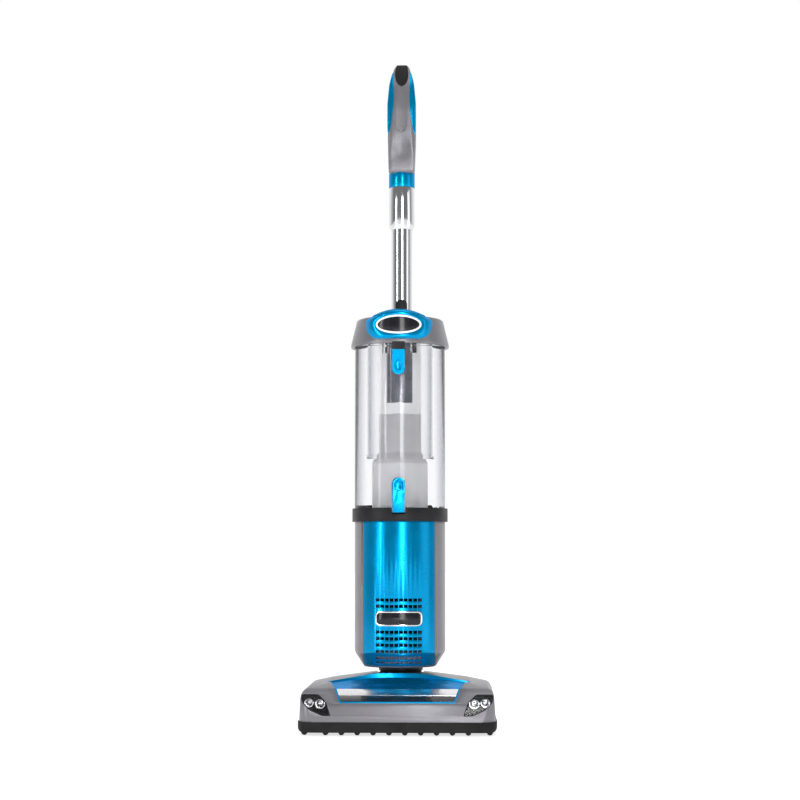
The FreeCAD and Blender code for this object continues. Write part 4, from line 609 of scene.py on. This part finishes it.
def laid_skin(name, along, wide, place, thick):
    """A grid laid on a form: place(u, v) is its outer side, with u and v from 0 to 1."""
    nothing()
    bpy.ops.mesh.primitive_grid_add(x_subdivisions=along, y_subdivisions=wide, size=1.0)
    piece = added(name)
    for point in piece.data.vertices:
        point.co = place(point.co.x + 0.5, point.co.y + 0.5)
    sheet = piece.modifiers.new("thickness", "SOLIDIFY")
    sheet.thickness = thick
    sheet.offset = 0.0
    apply_all(piece)
    edit(piece)
    bpy.ops.mesh.select_all(action="SELECT")
    bpy.ops.mesh.remove_doubles(threshold=MERGE_DISTANCE)
    bpy.ops.mesh.normals_make_consistent(inside=False)
    done()
    smooth(piece, 40.0)
    return piece


# %% [markdown]
# ## The loop handle
#
# The grip is moulded in two halves and feels round in the hand: its sides bulge, its front is nearly flat
# and its foot is square where it stands on the ring below. We give the outline as pairs of points, one on
# the outside and one on the inside of the loop, each measured from the corner of the CAD shells' box. Two
# cross-sections, a round one for the grip and a square one for the foot, are blended on the way up.

# %% The grip's stations and sections
GRIP_PAIRS = [
    # outside y, z, inside y, z in millimetres from the low corner of the shells
    (1.5, 0.0, 26.5, 49.0), (0.2, 25.0, 24.8, 54.0), (0.0, 43.0, 24.2, 64.0), (0.8, 70.0, 24.0, 80.0),
    (2.6, 95.0, 24.0, 98.0), (4.5, 118.0, 24.0, 118.0), (8.0, 140.0, 26.0, 138.0), (13.0, 164.0, 29.0, 158.0),
    (21.0, 183.0, 34.0, 170.0), (31.0, 197.0, 38.5, 175.5), (41.0, 202.0, 41.5, 176.0),
    (53.0, 201.5, 45.5, 173.0), (64.0, 192.0, 50.5, 165.0), (72.0, 173.0, 55.0, 152.0),
    (77.0, 150.0, 58.0, 135.0), (82.0, 120.0, 60.0, 118.0), (81.0, 98.0, 59.5, 98.0),
    (78.5, 76.0, 57.5, 78.0), (73.0, 54.0, 54.0, 64.0), (65.5, 38.0, 49.5, 52.0), (56.0, 23.0, 44.0, 45.5),
    (48.0, 7.0, 39.5, 44.5), (46.3, 0.0, 35.5, 45.0), (32.0, 0.0, 32.0, 46.0), (17.0, 0.0, 29.0, 47.0),
]
ROUND_SECTION = [
    (0.0, 1.0), (0.05, 1.0), (0.35, 0.998), (0.62, 0.985), (0.8, 0.94), (0.92, 0.83), (0.985, 0.6),
    (1.0, 0.25), (1.0, -0.2), (0.985, -0.58), (0.92, -0.82), (0.78, -0.95), (0.5, -0.995), (0.0, -1.0),
]
SQUARE_SECTION = [(0.0, 1.0), (0.05, 1.0), (0.35, 1.0), (0.7, 1.0), (0.92, 1.0), (0.985, 0.97), (1.0, 0.88),
                  (1.0, 0.25), (1.0, -0.2), (1.0, -0.88), (0.985, -0.97), (0.92, -1.0), (0.5, -1.0),
                  (0.0, -1.0)]
GRIP_WIDTHS = [(0.0, 22.6), (60.0, 24.4), (125.0, 24.4), (160.0, 21.4), (182.0, 17.0), (202.0, 12.5)]
FOOT_TO_GRIP = (18.0, 62.0)             # between these heights the square section turns round
DISH_DEPTH, DISH_WIDTH = 2.4, 0.75      # a shallow dish in the front, its width a share of the grip's
DISH_STARTS, DISH_ENDS = (18.0, 36.0), (46.0, 76.0)
FRONT_STATIONS = 5.0                    # the stations before this one lie on the front
grip_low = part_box("handle_shell_left")[0]


def between(table, value):
    """Reads a table of (place, amount) with straight lines between its rows."""
    for (a, first), (b, second) in zip(table, table[1:]):
        if value <= b:
            return first + (second - first) * max(0.0, (value - a) / (b - a))
    return table[-1][1]


def eased(low, high, value):
    """0 below low, 1 above high, and a smooth step between them."""
    t = min(1.0, max(0.0, (value - low) / (high - low)))
    return t * t * (3.0 - 2.0 * t)


def curve_through(rows, at):
    """A smooth closed curve through the rows, read at a row number that may have a fraction."""
    count, whole = len(rows), math.floor(at)
    t = at - whole
    a, b, c, d = (rows[(whole + k) % count] for k in (-1, 0, 1, 2))
    return [0.5 * (2 * q + (r - p) * t + (2 * p - 5 * q + 4 * r - w) * t * t
                   + (3 * q - p - 3 * r + w) * t ** 3)
            for p, q, r, w in zip(a, b, c, d)]


def grip_point(station, column):
    """A point of the grip's surface. column counts along the section, and is negative on the -X side."""
    out_y, out_z, in_y, in_z = curve_through(GRIP_PAIRS, station)
    square = 1.0 - eased(*FOOT_TO_GRIP, min(out_z, in_z))
    column, side = abs(column), math.copysign(1.0, column)
    row = min(int(column), len(ROUND_SECTION) - 2)
    t = column - row

    def read(section, k):
        return section[row][k] + (section[row + 1][k] - section[row][k]) * t

    across = read(ROUND_SECTION, 0) * (1 - square) + read(SQUARE_SECTION, 0) * square
    deep = read(ROUND_SECTION, 1) * (1 - square) + read(SQUARE_SECTION, 1) * square
    y = (out_y + in_y) / 2 + (out_y - in_y) / 2 * deep
    z = (out_z + in_z) / 2 + (out_z - in_z) / 2 * deep
    if station < FRONT_STATIONS and deep > 0.9:
        hollow = max(0.0, 1.0 - (across / DISH_WIDTH) ** 2)
        y += DISH_DEPTH * hollow * eased(*DISH_STARTS, z) * (1 - eased(*DISH_ENDS, z))
    x = side * across * between(GRIP_WIDTHS, z)
    return Vector((x * MM, grip_low[1] + y * MM, grip_low[2] + z * MM))


# %% Model the grip
ROWS_PER_STATION = 4
GRIP_ROWS = ROWS_PER_STATION * len(GRIP_PAIRS)
GRIP_COLUMNS = 2 * len(ROUND_SECTION) - 2


def grip_net(row, column):
    """The second half of the section's columns runs back up the -X side."""
    if column >= len(ROUND_SECTION):
        column -= GRIP_COLUMNS
    return grip_point(row / ROWS_PER_STATION, column)


grip = shaped_ring("handle_grip", GRIP_ROWS, GRIP_COLUMNS, grip_net)
smooth(grip, 60.0)
hand_over(grip, "handle", "grey_metallic", "handle_shell_left", "handle_shell_right")
print("grip faces:", len(grip.data.polygons))

# %% [markdown]
# ### Skins on the grip
#
# A panel runs up the front, a black pad caps the top, and two blue leaves lie on the corners. All four are
# laid on the grip's own surface and lifted by half a millimetre, so they follow its curves exactly.

# %% Lay the panel, the pad and the leaves
SMALL_STEP = 0.04                       # how far we look along the surface to find its direction
SKIN_THICK, PAD_THICK = 0.0012, 0.0014
PANEL_START, PANEL_LENGTH = 3.05, 3.6   # in stations
PANEL_HALF, PANEL_TIP = 0.4, 0.12       # half width as a share of the grip's, and of that at the round end
PANEL_ROUND = 0.16                      # how much of its length the round end takes
PANEL_LIFT, PANEL_EDGE = 0.1, 0.45      # in millimetres: at the middle, and what the sides add
PAD_START, PAD_LENGTH = 6.72, 5.4
PAD_HALF, PAD_TIP, PAD_LIFT = 0.72, 0.1, 0.55
PAD_ROUND_FRONT, PAD_ROUND_BACK = 0.3, 0.25
LEAF_START, LEAF_LENGTH = 2.9, 5.2
LEAF_COLUMN, LEAF_TO_FRONT, LEAF_TO_BACK = 5.2, 2.3, 2.6    # in columns of the grip's section
LEAF_TIP, LEAF_SHARPNESS = 0.05, 0.6
LEAF_LIFT, LEAF_CROWN = 0.3, 0.5


def grip_skin_point(station, column, lift):
    """A point over the grip's surface, lifted along the surface's own direction."""
    here, step = grip_point(station, column), SMALL_STEP
    up = grip_point(station + step, column) - grip_point(station - step, column)
    if abs(column) < step:
        wide = grip_point(station, step) - grip_point(station, -step)
    else:
        wide = grip_point(station, column + step) - grip_point(station, column - step)
    outward = up.cross(wide).normalized()
    out_y, out_z, in_y, in_z = curve_through(GRIP_PAIRS, station)
    middle = Vector((0.0, grip_low[1] + (out_y + in_y) / 2 * MM, grip_low[2] + (out_z + in_z) / 2 * MM))
    if outward.dot(here - middle) < 0:
        outward.negate()
    return here + outward * lift * MM


def column_at(across):
    """The section's column at a share of the grip's half width, on the front."""
    for k in range(5):
        a, b = ROUND_SECTION[k][0], ROUND_SECTION[k + 1][0]
        if across <= b:
            return k + (across - a) / (b - a)
    return 5.0


def rounded_end(t, length):
    """Narrows a skin to a round end over a share of its length."""
    return math.sqrt(max(0.0, 1.0 - (1.0 - min(1.0, t / length)) ** 2))


def panel_point(u, v):
    """The panel is sunk in the middle and has a round end below."""
    half = PANEL_HALF * max(PANEL_TIP, rounded_end(u, PANEL_ROUND))
    side = 2 * v - 1
    column = math.copysign(column_at(abs(side) * half), side)
    return grip_skin_point(PANEL_START + PANEL_LENGTH * u, column, PANEL_LIFT + PANEL_EDGE * side * side)


def pad_point(u, v):
    """The pad has an even thickness and two round ends."""
    front, back = rounded_end(u, PAD_ROUND_FRONT), rounded_end(1 - u, PAD_ROUND_BACK)
    half = PAD_HALF * max(PAD_TIP, front) * max(PAD_TIP, back)
    side = 2 * v - 1
    column = math.copysign(column_at(abs(side) * half), side)
    return grip_skin_point(PAD_START + PAD_LENGTH * u, column, PAD_LIFT)


def leaf(sign):
    """The leaf is widest half way along and ends in a point; sign says which side it lies on."""
    def point(u, v):
        station = LEAF_START + LEAF_LENGTH * u
        swell = math.sin(math.pi * min(1.0, max(0.0, u))) ** LEAF_SHARPNESS
        low = LEAF_COLUMN - LEAF_TO_FRONT * swell - LEAF_TIP
        high = LEAF_COLUMN + LEAF_TO_BACK * swell + LEAF_TIP
        lift = LEAF_LIFT + LEAF_CROWN * math.sin(math.pi * v)
        return grip_skin_point(station, sign * (low + (high - low) * v), lift)
    return point


panel = laid_skin("handle_front_panel", 40, 10, panel_point, SKIN_THICK)
hand_over(panel, "handle", "grey_metallic", "handle_panel")
pad = laid_skin("handle_top_pad", 44, 14, pad_point, PAD_THICK)
hand_over(pad, "handle", "black_rubber", "handle_pad")
for side_name, sign in (("left", -1), ("right", 1)):
    inlay = laid_skin("handle_leaf_" + side_name, 40, 12, leaf(sign), SKIN_THICK)
    hand_over(inlay, "handle", "blue_metallic", "handle_inlays")
print("grip skins:", len(panel.data.polygons) + len(pad.data.polygons))

# %% [markdown]
# ## The lid's crown and its badge
#
# The crown is a glossy blue ring with a domed face, wrapped round the front of the lid. It is again a torus
# moved into place: the inner edge is the oval of the badge, the outer edge is the crown's own outline, and
# every point is pushed back onto the curve of the lid. The badge is an oval plate in a white ring; here it
# stays plain and dark.

# %% Model the crown
crown_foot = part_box("lid_crown")[0][2]
CROWN_OUTLINE = [
    # x and z in millimetres, from the middle of the bottom edge round the right half to the top
    (0.0, 0.0), (22.0, 0.0), (36.0, 0.8), (45.0, 4.5), (51.0, 11.0), (54.6, 19.0), (56.0, 27.0), (56.0, 32.0),
    (54.0, 34.6), (47.0, 38.5), (38.0, 42.3), (28.0, 45.8), (15.0, 48.8), (0.0, 50.0),
]
BADGE_OVAL = (38.0, 15.7, 23.5)       # half width, half height, and height over the crown's bottom edge
BADGE_LAP = 0.97                      # the crown's inner edge lies a little under the badge's ring
BADGE_RADIUS = 84.3                   # from the lid's axis to the crown beside the badge
DOME, DOME_SHAPE = 1.7, 0.8           # the face's bulge, and how quickly it rises at its edges
FALL_SHAPE = 2.6                      # the face stays forward and falls back only near its outer edge
EDGE_STANDS, BACK_SINKS, CROWN_WALL = 1.2, 1.2, 1.0
LID_FOOT_RADIUS, LID_NARROWS, LID_RISE = 81.5, 8.5, 40.0
TOP_EDGE_RADIUS = 78.6                # where the crown stands over the lid's top
CROWN_ROWS, CROWN_COLUMNS, FRONT_COLUMNS = 104, 16, 9


def outline_point(share):
    """A point of the crown's outline; share runs once round, from the bottom."""
    half = CROWN_OUTLINE
    rows = half + [(-x, z) for x, z in reversed(half[1:-1])]
    return curve_through(rows, share * len(rows))


def lid_radius(z):
    """The lid's own radius at a height over the crown's bottom edge, in millimetres."""
    return LID_FOOT_RADIUS - LID_NARROWS * min(1.0, max(0.0, z / LID_RISE))


def crown_net(row, column):
    """Columns up to FRONT_COLUMNS cross the domed face; the others lead back behind it."""
    x1, z1 = outline_point(row / CROWN_ROWS)
    angle = math.atan2(x1 / BADGE_OVAL[0], (BADGE_OVAL[2] - z1) / BADGE_OVAL[1])
    x0 = BADGE_OVAL[0] * BADGE_LAP * math.sin(angle)
    z0 = BADGE_OVAL[2] - BADGE_OVAL[1] * BADGE_LAP * math.cos(angle)
    front = column <= FRONT_COLUMNS
    u = column / FRONT_COLUMNS if front else (CROWN_COLUMNS - column) / (CROWN_COLUMNS - FRONT_COLUMNS)
    x, z = x0 + (x1 - x0) * u, z0 + (z1 - z0) * u
    edge = (lid_radius(z) + EDGE_STANDS) if z < LID_RISE else TOP_EDGE_RADIUS
    radius = (BADGE_RADIUS + (edge - BADGE_RADIUS) * u ** FALL_SHAPE
              + DOME * math.sin(math.pi * u) ** DOME_SHAPE)
    if not front:
        radius = min(radius - CROWN_WALL, lid_radius(z) - BACK_SINKS)
    y = -math.sqrt(radius * radius - x * x)
    return Vector((x * MM, y * MM, crown_foot + z * MM))


crown = shaped_ring("lid_crown_ring", CROWN_ROWS, CROWN_COLUMNS, crown_net)
smooth(crown, 50.0)
hand_over(crown, "lid", "blue_metallic", "lid_crown")
print("crown faces:", len(crown.data.polygons))


# %% Colour the badges' rings and plates
SUNK = 0.00035              # a plate's face lies at least this far behind its ring's face
FACES_OUT = 0.95            # and its normal points away from the machine's axis


def ring_and_plate(node, ring_slot):
    """The badge as one piece: its ring keeps the slot's finish, the sunk face inside is dark and glossy."""
    badge = finished_copy(node, 0.3)
    hand_over(badge, body_of[node], ring_slot, node)
    badge.data.materials.append(FINISHES["dark_gloss"])
    ring = max(math.hypot(v.co.x, v.co.y) for v in badge.data.vertices)
    for face in badge.data.polygons:
        at = face.center
        outward = (face.normal.x * at.x + face.normal.y * at.y) / math.hypot(at.x, at.y)
        if outward > FACES_OUT and math.hypot(at.x, at.y) < ring - SUNK:
            face.material_index = 1
    print(node, "dark faces:", sum(face.material_index for face in badge.data.polygons))


ring_and_plate("lid_badge", "white_plastic")
ring_and_plate("cover_badge", "satin_chrome")

# %% [markdown]
# ## The two latches
#
# Each latch is a lever with a dished oval button for the thumb. The lever comes from the CAD. The button is a
# disc with many sides, squeezed to an oval, drawn out of the lever, inset to a lip and pressed in again,
# which is how a dish is made with three operators. A groove is sawn across the upper lever, above its button.

# %% Model the buttons and cut the groove
BUTTON_ROOT = 0.0015                    # how deep a button starts inside its lever
BUTTON_PROUD = 0.0006
BUTTON_RINGS = [(0.0009, 0.0), (0.0012, 0.0011), (0.0014, 0.0004)]     # inset, then push in
BUTTON_LIP = 0.00025
SAW_WIDTH, SAW_ROOM = 0.05, 0.002       # the saw is wider than the lever and starts in front of it
GROOVE_BELOW_TOP = (0.0135, 0.0123)
GROOVE_DEPTH = 0.0012
UPPER_BUTTON = (0.0265, 0.0066, 0.0098)     # below the lever's top, half width, half height
LOWER_BUTTON = (0.0135, 0.0068, 0.0092)


def oval_button(name, node, below_top, half_x, half_z):
    """A dished oval on a lever's front, riding on the lever's body."""
    low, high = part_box(node)
    middle_z = high[2] - below_top
    nothing()
    bpy.ops.mesh.primitive_circle_add(vertices=40, radius=half_x, fill_type="NGON",
                                      location=((low[0] + high[0]) / 2, low[1] + BUTTON_ROOT, middle_z),
                                      rotation=(math.radians(90.0), 0.0, 0.0))
    piece = added(name)
    edit(piece)
    bpy.ops.mesh.select_all(action="SELECT")
    bpy.ops.transform.resize(value=(1.0, 1.0, half_z / half_x), orient_type="GLOBAL",
                             center_override=(0.0, 0.0, middle_z))
    bpy.ops.mesh.extrude_region_move(
        TRANSFORM_OT_translate={"value": (0.0, -BUTTON_ROOT - BUTTON_PROUD, 0.0)})
    for inset, push in BUTTON_RINGS:
        bpy.ops.mesh.inset(thickness=inset)
        if push:
            bpy.ops.transform.translate(value=(0.0, push, 0.0))
    bpy.ops.mesh.select_all(action="SELECT")
    bpy.ops.mesh.normals_make_consistent(inside=False)
    done()
    bevel = piece.modifiers.new("soft_lip", "BEVEL")
    bevel.width = BUTTON_LIP
    bevel.segments = 2
    bevel.limit_method = "ANGLE"
    bevel.angle_limit = math.radians(35.0)
    apply_all(piece)
    smooth(piece, 50.0)
    hand_over(piece, body_of[node], slot_of[node])
    return piece


def grooved(piece, front, low, high, deep):
    """Saws a groove across a piece whose front is at y = front, between two heights."""
    nothing()
    bpy.ops.mesh.primitive_cube_add(size=1.0,
                                    location=(0.0, front + deep / 2 - SAW_ROOM, (low + high) / 2),
                                    scale=(SAW_WIDTH, deep + 2 * SAW_ROOM, high - low))
    saw = added("saw")
    cut = piece.modifiers.new("groove", "BOOLEAN")
    cut.operation = "DIFFERENCE"
    cut.object = saw
    cut.solver = "EXACT"
    apply_all(piece)
    bpy.data.objects.remove(saw)


lid_lever = finished_copy("lid_latch", 0.0)
(_, lever_front, _), (_, _, lever_top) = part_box("lid_latch")
groove_low, groove_high = (lever_top - below for below in GROOVE_BELOW_TOP)
grooved(lid_lever, lever_front, groove_low, groove_high, GROOVE_DEPTH)
smooth(lid_lever, 30.0)
upper_button = oval_button("lid_latch_button", "lid_latch", *UPPER_BUTTON)
lower_button = oval_button("cup_latch_button", "cup_latch", *LOWER_BUTTON)
print("buttons:", len(upper_button.data.polygons), len(lower_button.data.polygons))

# %% [markdown]
# ## The outlet sleeve's clear window
#
# The sleeve is moulded in two shots: it is white all round, but its front is clear as wide as the guide tube
# that stands inside, so that one can see whether the tube is blocked. We cut the sleeve's faces along the
# window's outline with Bisect and give those in front the clear plastic.

# %% Cut the window
WINDOW_FOOT = 0.0185        # how far the guide tube's mouth stands over the sleeve's foot
WINDOW_FRONT = -0.02        # only faces further forward than this become clear
sleeve = finished_copy("outlet_sleeve", 0.0)
tube_low, tube_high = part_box("guide_tube")
window_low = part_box("outlet_sleeve")[0][2] + WINDOW_FOOT
edit(sleeve)
for place, across in (((tube_low[0], 0, 0), (1, 0, 0)), ((tube_high[0], 0, 0), (1, 0, 0)),
                      ((0, 0, window_low), (0, 0, 1))):
    bpy.ops.mesh.select_all(action="SELECT")
    bpy.ops.mesh.bisect(plane_co=place, plane_no=across)
done()
hand_over(sleeve, "lid", "white_plastic", "outlet_sleeve")
sleeve.data.materials.append(FINISHES["clear_plastic"])
for face in sleeve.data.polygons:
    at = face.center
    if at.y < WINDOW_FRONT and tube_low[0] < at.x < tube_high[0] and at.z > window_low:
        face.material_index = 1
smooth(sleeve, 30.0)
print("clear faces:", sum(face.material_index for face in sleeve.data.polygons))

# %% [markdown]
# ## Bristles, foam and the latch's bracket
#
# The CAD has one block for each group of bristles. A real brush has tufts there: short bundles set in rows of
# holes. We measure every block and stand tufts in it, each a slim cone that opens towards its tip, all
# pointing away from the roll's axis. The foam filter is cut from a soft sheet, so its edges are round. The
# bracket that carries the upper latch is a small black block: its face is inset to a lip and pressed in.

# %% Stand tufts in the bristle blocks
TUFT_STEP = 0.0022          # from one tuft to the next
TUFT_FOOT, TUFT_TIP = 0.0006, 0.00085
TUFT_SUNK = 0.0004
TUFT_UNEVEN = 0.0002        # tufts are cut to three slightly different lengths


def span(values, index, count):
    """The middle of one of count equal steps across the values' range."""
    return min(values) + (max(values) - min(values)) * (index + 0.5) / count


blocks = finished_copy("brush_bristles", 0.0)
edit(blocks)
bpy.ops.mesh.select_all(action="SELECT")
bpy.ops.mesh.separate(type="LOOSE")
done()
groups = list(bpy.context.selected_objects)
roll_low, roll_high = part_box("brush_roll")
axis_y, axis_z = (roll_low[1] + roll_high[1]) / 2, (roll_low[2] + roll_high[2]) / 2
nothing()
bpy.ops.mesh.primitive_cone_add(vertices=6, radius1=TUFT_FOOT, radius2=TUFT_TIP, depth=1.0,
                                end_fill_type="NGON")
tuft = added("tuft")
tufts = []
for group in sorted(groups, key=lambda o: tuple(round(c, 5) for c in o.data.vertices[0].co)):
    points = [v.co for v in group.data.vertices]
    middle = sum(points, Vector()) / len(points)
    out = Vector((0.0, middle.y - axis_y, middle.z - axis_z)).normalized()
    side = Vector((0.0, -out.z, out.y))
    hub = Vector((0.0, axis_y, axis_z))
    reach = [(p - hub).dot(out) for p in points]
    width = [(p - hub).dot(side) for p in points]
    length = [p.x for p in points]
    columns = max(2, int((max(length) - min(length)) / TUFT_STEP))
    rows = max(1, int((max(width) - min(width)) / TUFT_STEP))
    turn = Vector((0.0, 0.0, 1.0)).rotation_difference(out).to_matrix()
    for i in range(columns):
        for j in range(rows):
            foot = hub + side * span(width, j, rows) + Vector((span(length, i, columns), 0.0, 0.0))
            low, high = min(reach) + TUFT_SUNK, max(reach) - TUFT_UNEVEN * ((i + j) % 3)
            one = tuft.data.copy()
            for v in one.vertices:
                tall = low + (high - low) * (v.co.z + 0.5)
                v.co = foot + turn @ Vector((v.co.x, v.co.y, 0.0)) + out * tall
            bundle = bpy.data.objects.new("tuft_part", one)
            bpy.context.scene.collection.objects.link(bundle)
            tufts.append(bundle)
nothing()
for bundle in tufts:
    bundle.select_set(True)
bpy.context.view_layer.objects.active = tufts[0]
bpy.ops.object.join()
bristles = bpy.context.active_object
bristles.name = "brush_tufts"
for spare in groups + [tuft]:
    bpy.data.objects.remove(spare)
hand_over(bristles, "brush", "bristle", "brush_bristles")
print("tufts:", len(tufts), "faces:", len(bristles.data.polygons))

# %% Round the foam and add the bracket
foam_pad = finished_copy("foam_filter", 2.5, 4)
hand_over(foam_pad, "upper", "foam", "foam_filter")

BRACKET_DEEP, BRACKET_TALL = 0.004, 0.0124
BRACKET_BACK, BRACKET_UP = 0.0022, 0.0072       # its middle, behind the latch's front and over its top
BRACKET_LIP, BRACKET_RECESS, BRACKET_ROUND = 0.0016, 0.0004, 0.0005
latch_low, latch_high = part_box("lid_latch")
nothing()
bpy.ops.mesh.primitive_cube_add(size=1.0,
                                location=(0.0, latch_low[1] + BRACKET_BACK, latch_high[2] + BRACKET_UP),
                                scale=(latch_high[0] - latch_low[0], BRACKET_DEEP, BRACKET_TALL))
bracket = added("lid_latch_bracket")
edit(bracket)
pick_faces(bracket, lambda at, normal: normal.y < -0.9)
bpy.ops.mesh.inset(thickness=BRACKET_LIP)
bpy.ops.transform.translate(value=(0.0, BRACKET_RECESS, 0.0))
done()
bevel = bracket.modifiers.new("rounded_edges", "BEVEL")
bevel.width = BRACKET_ROUND
bevel.segments = 2
apply_all(bracket)
smooth(bracket, 40.0)
hand_over(bracket, "lid", "black_plastic")
print("foam and bracket faces:", len(foam_pad.data.polygons), len(bracket.data.polygons))
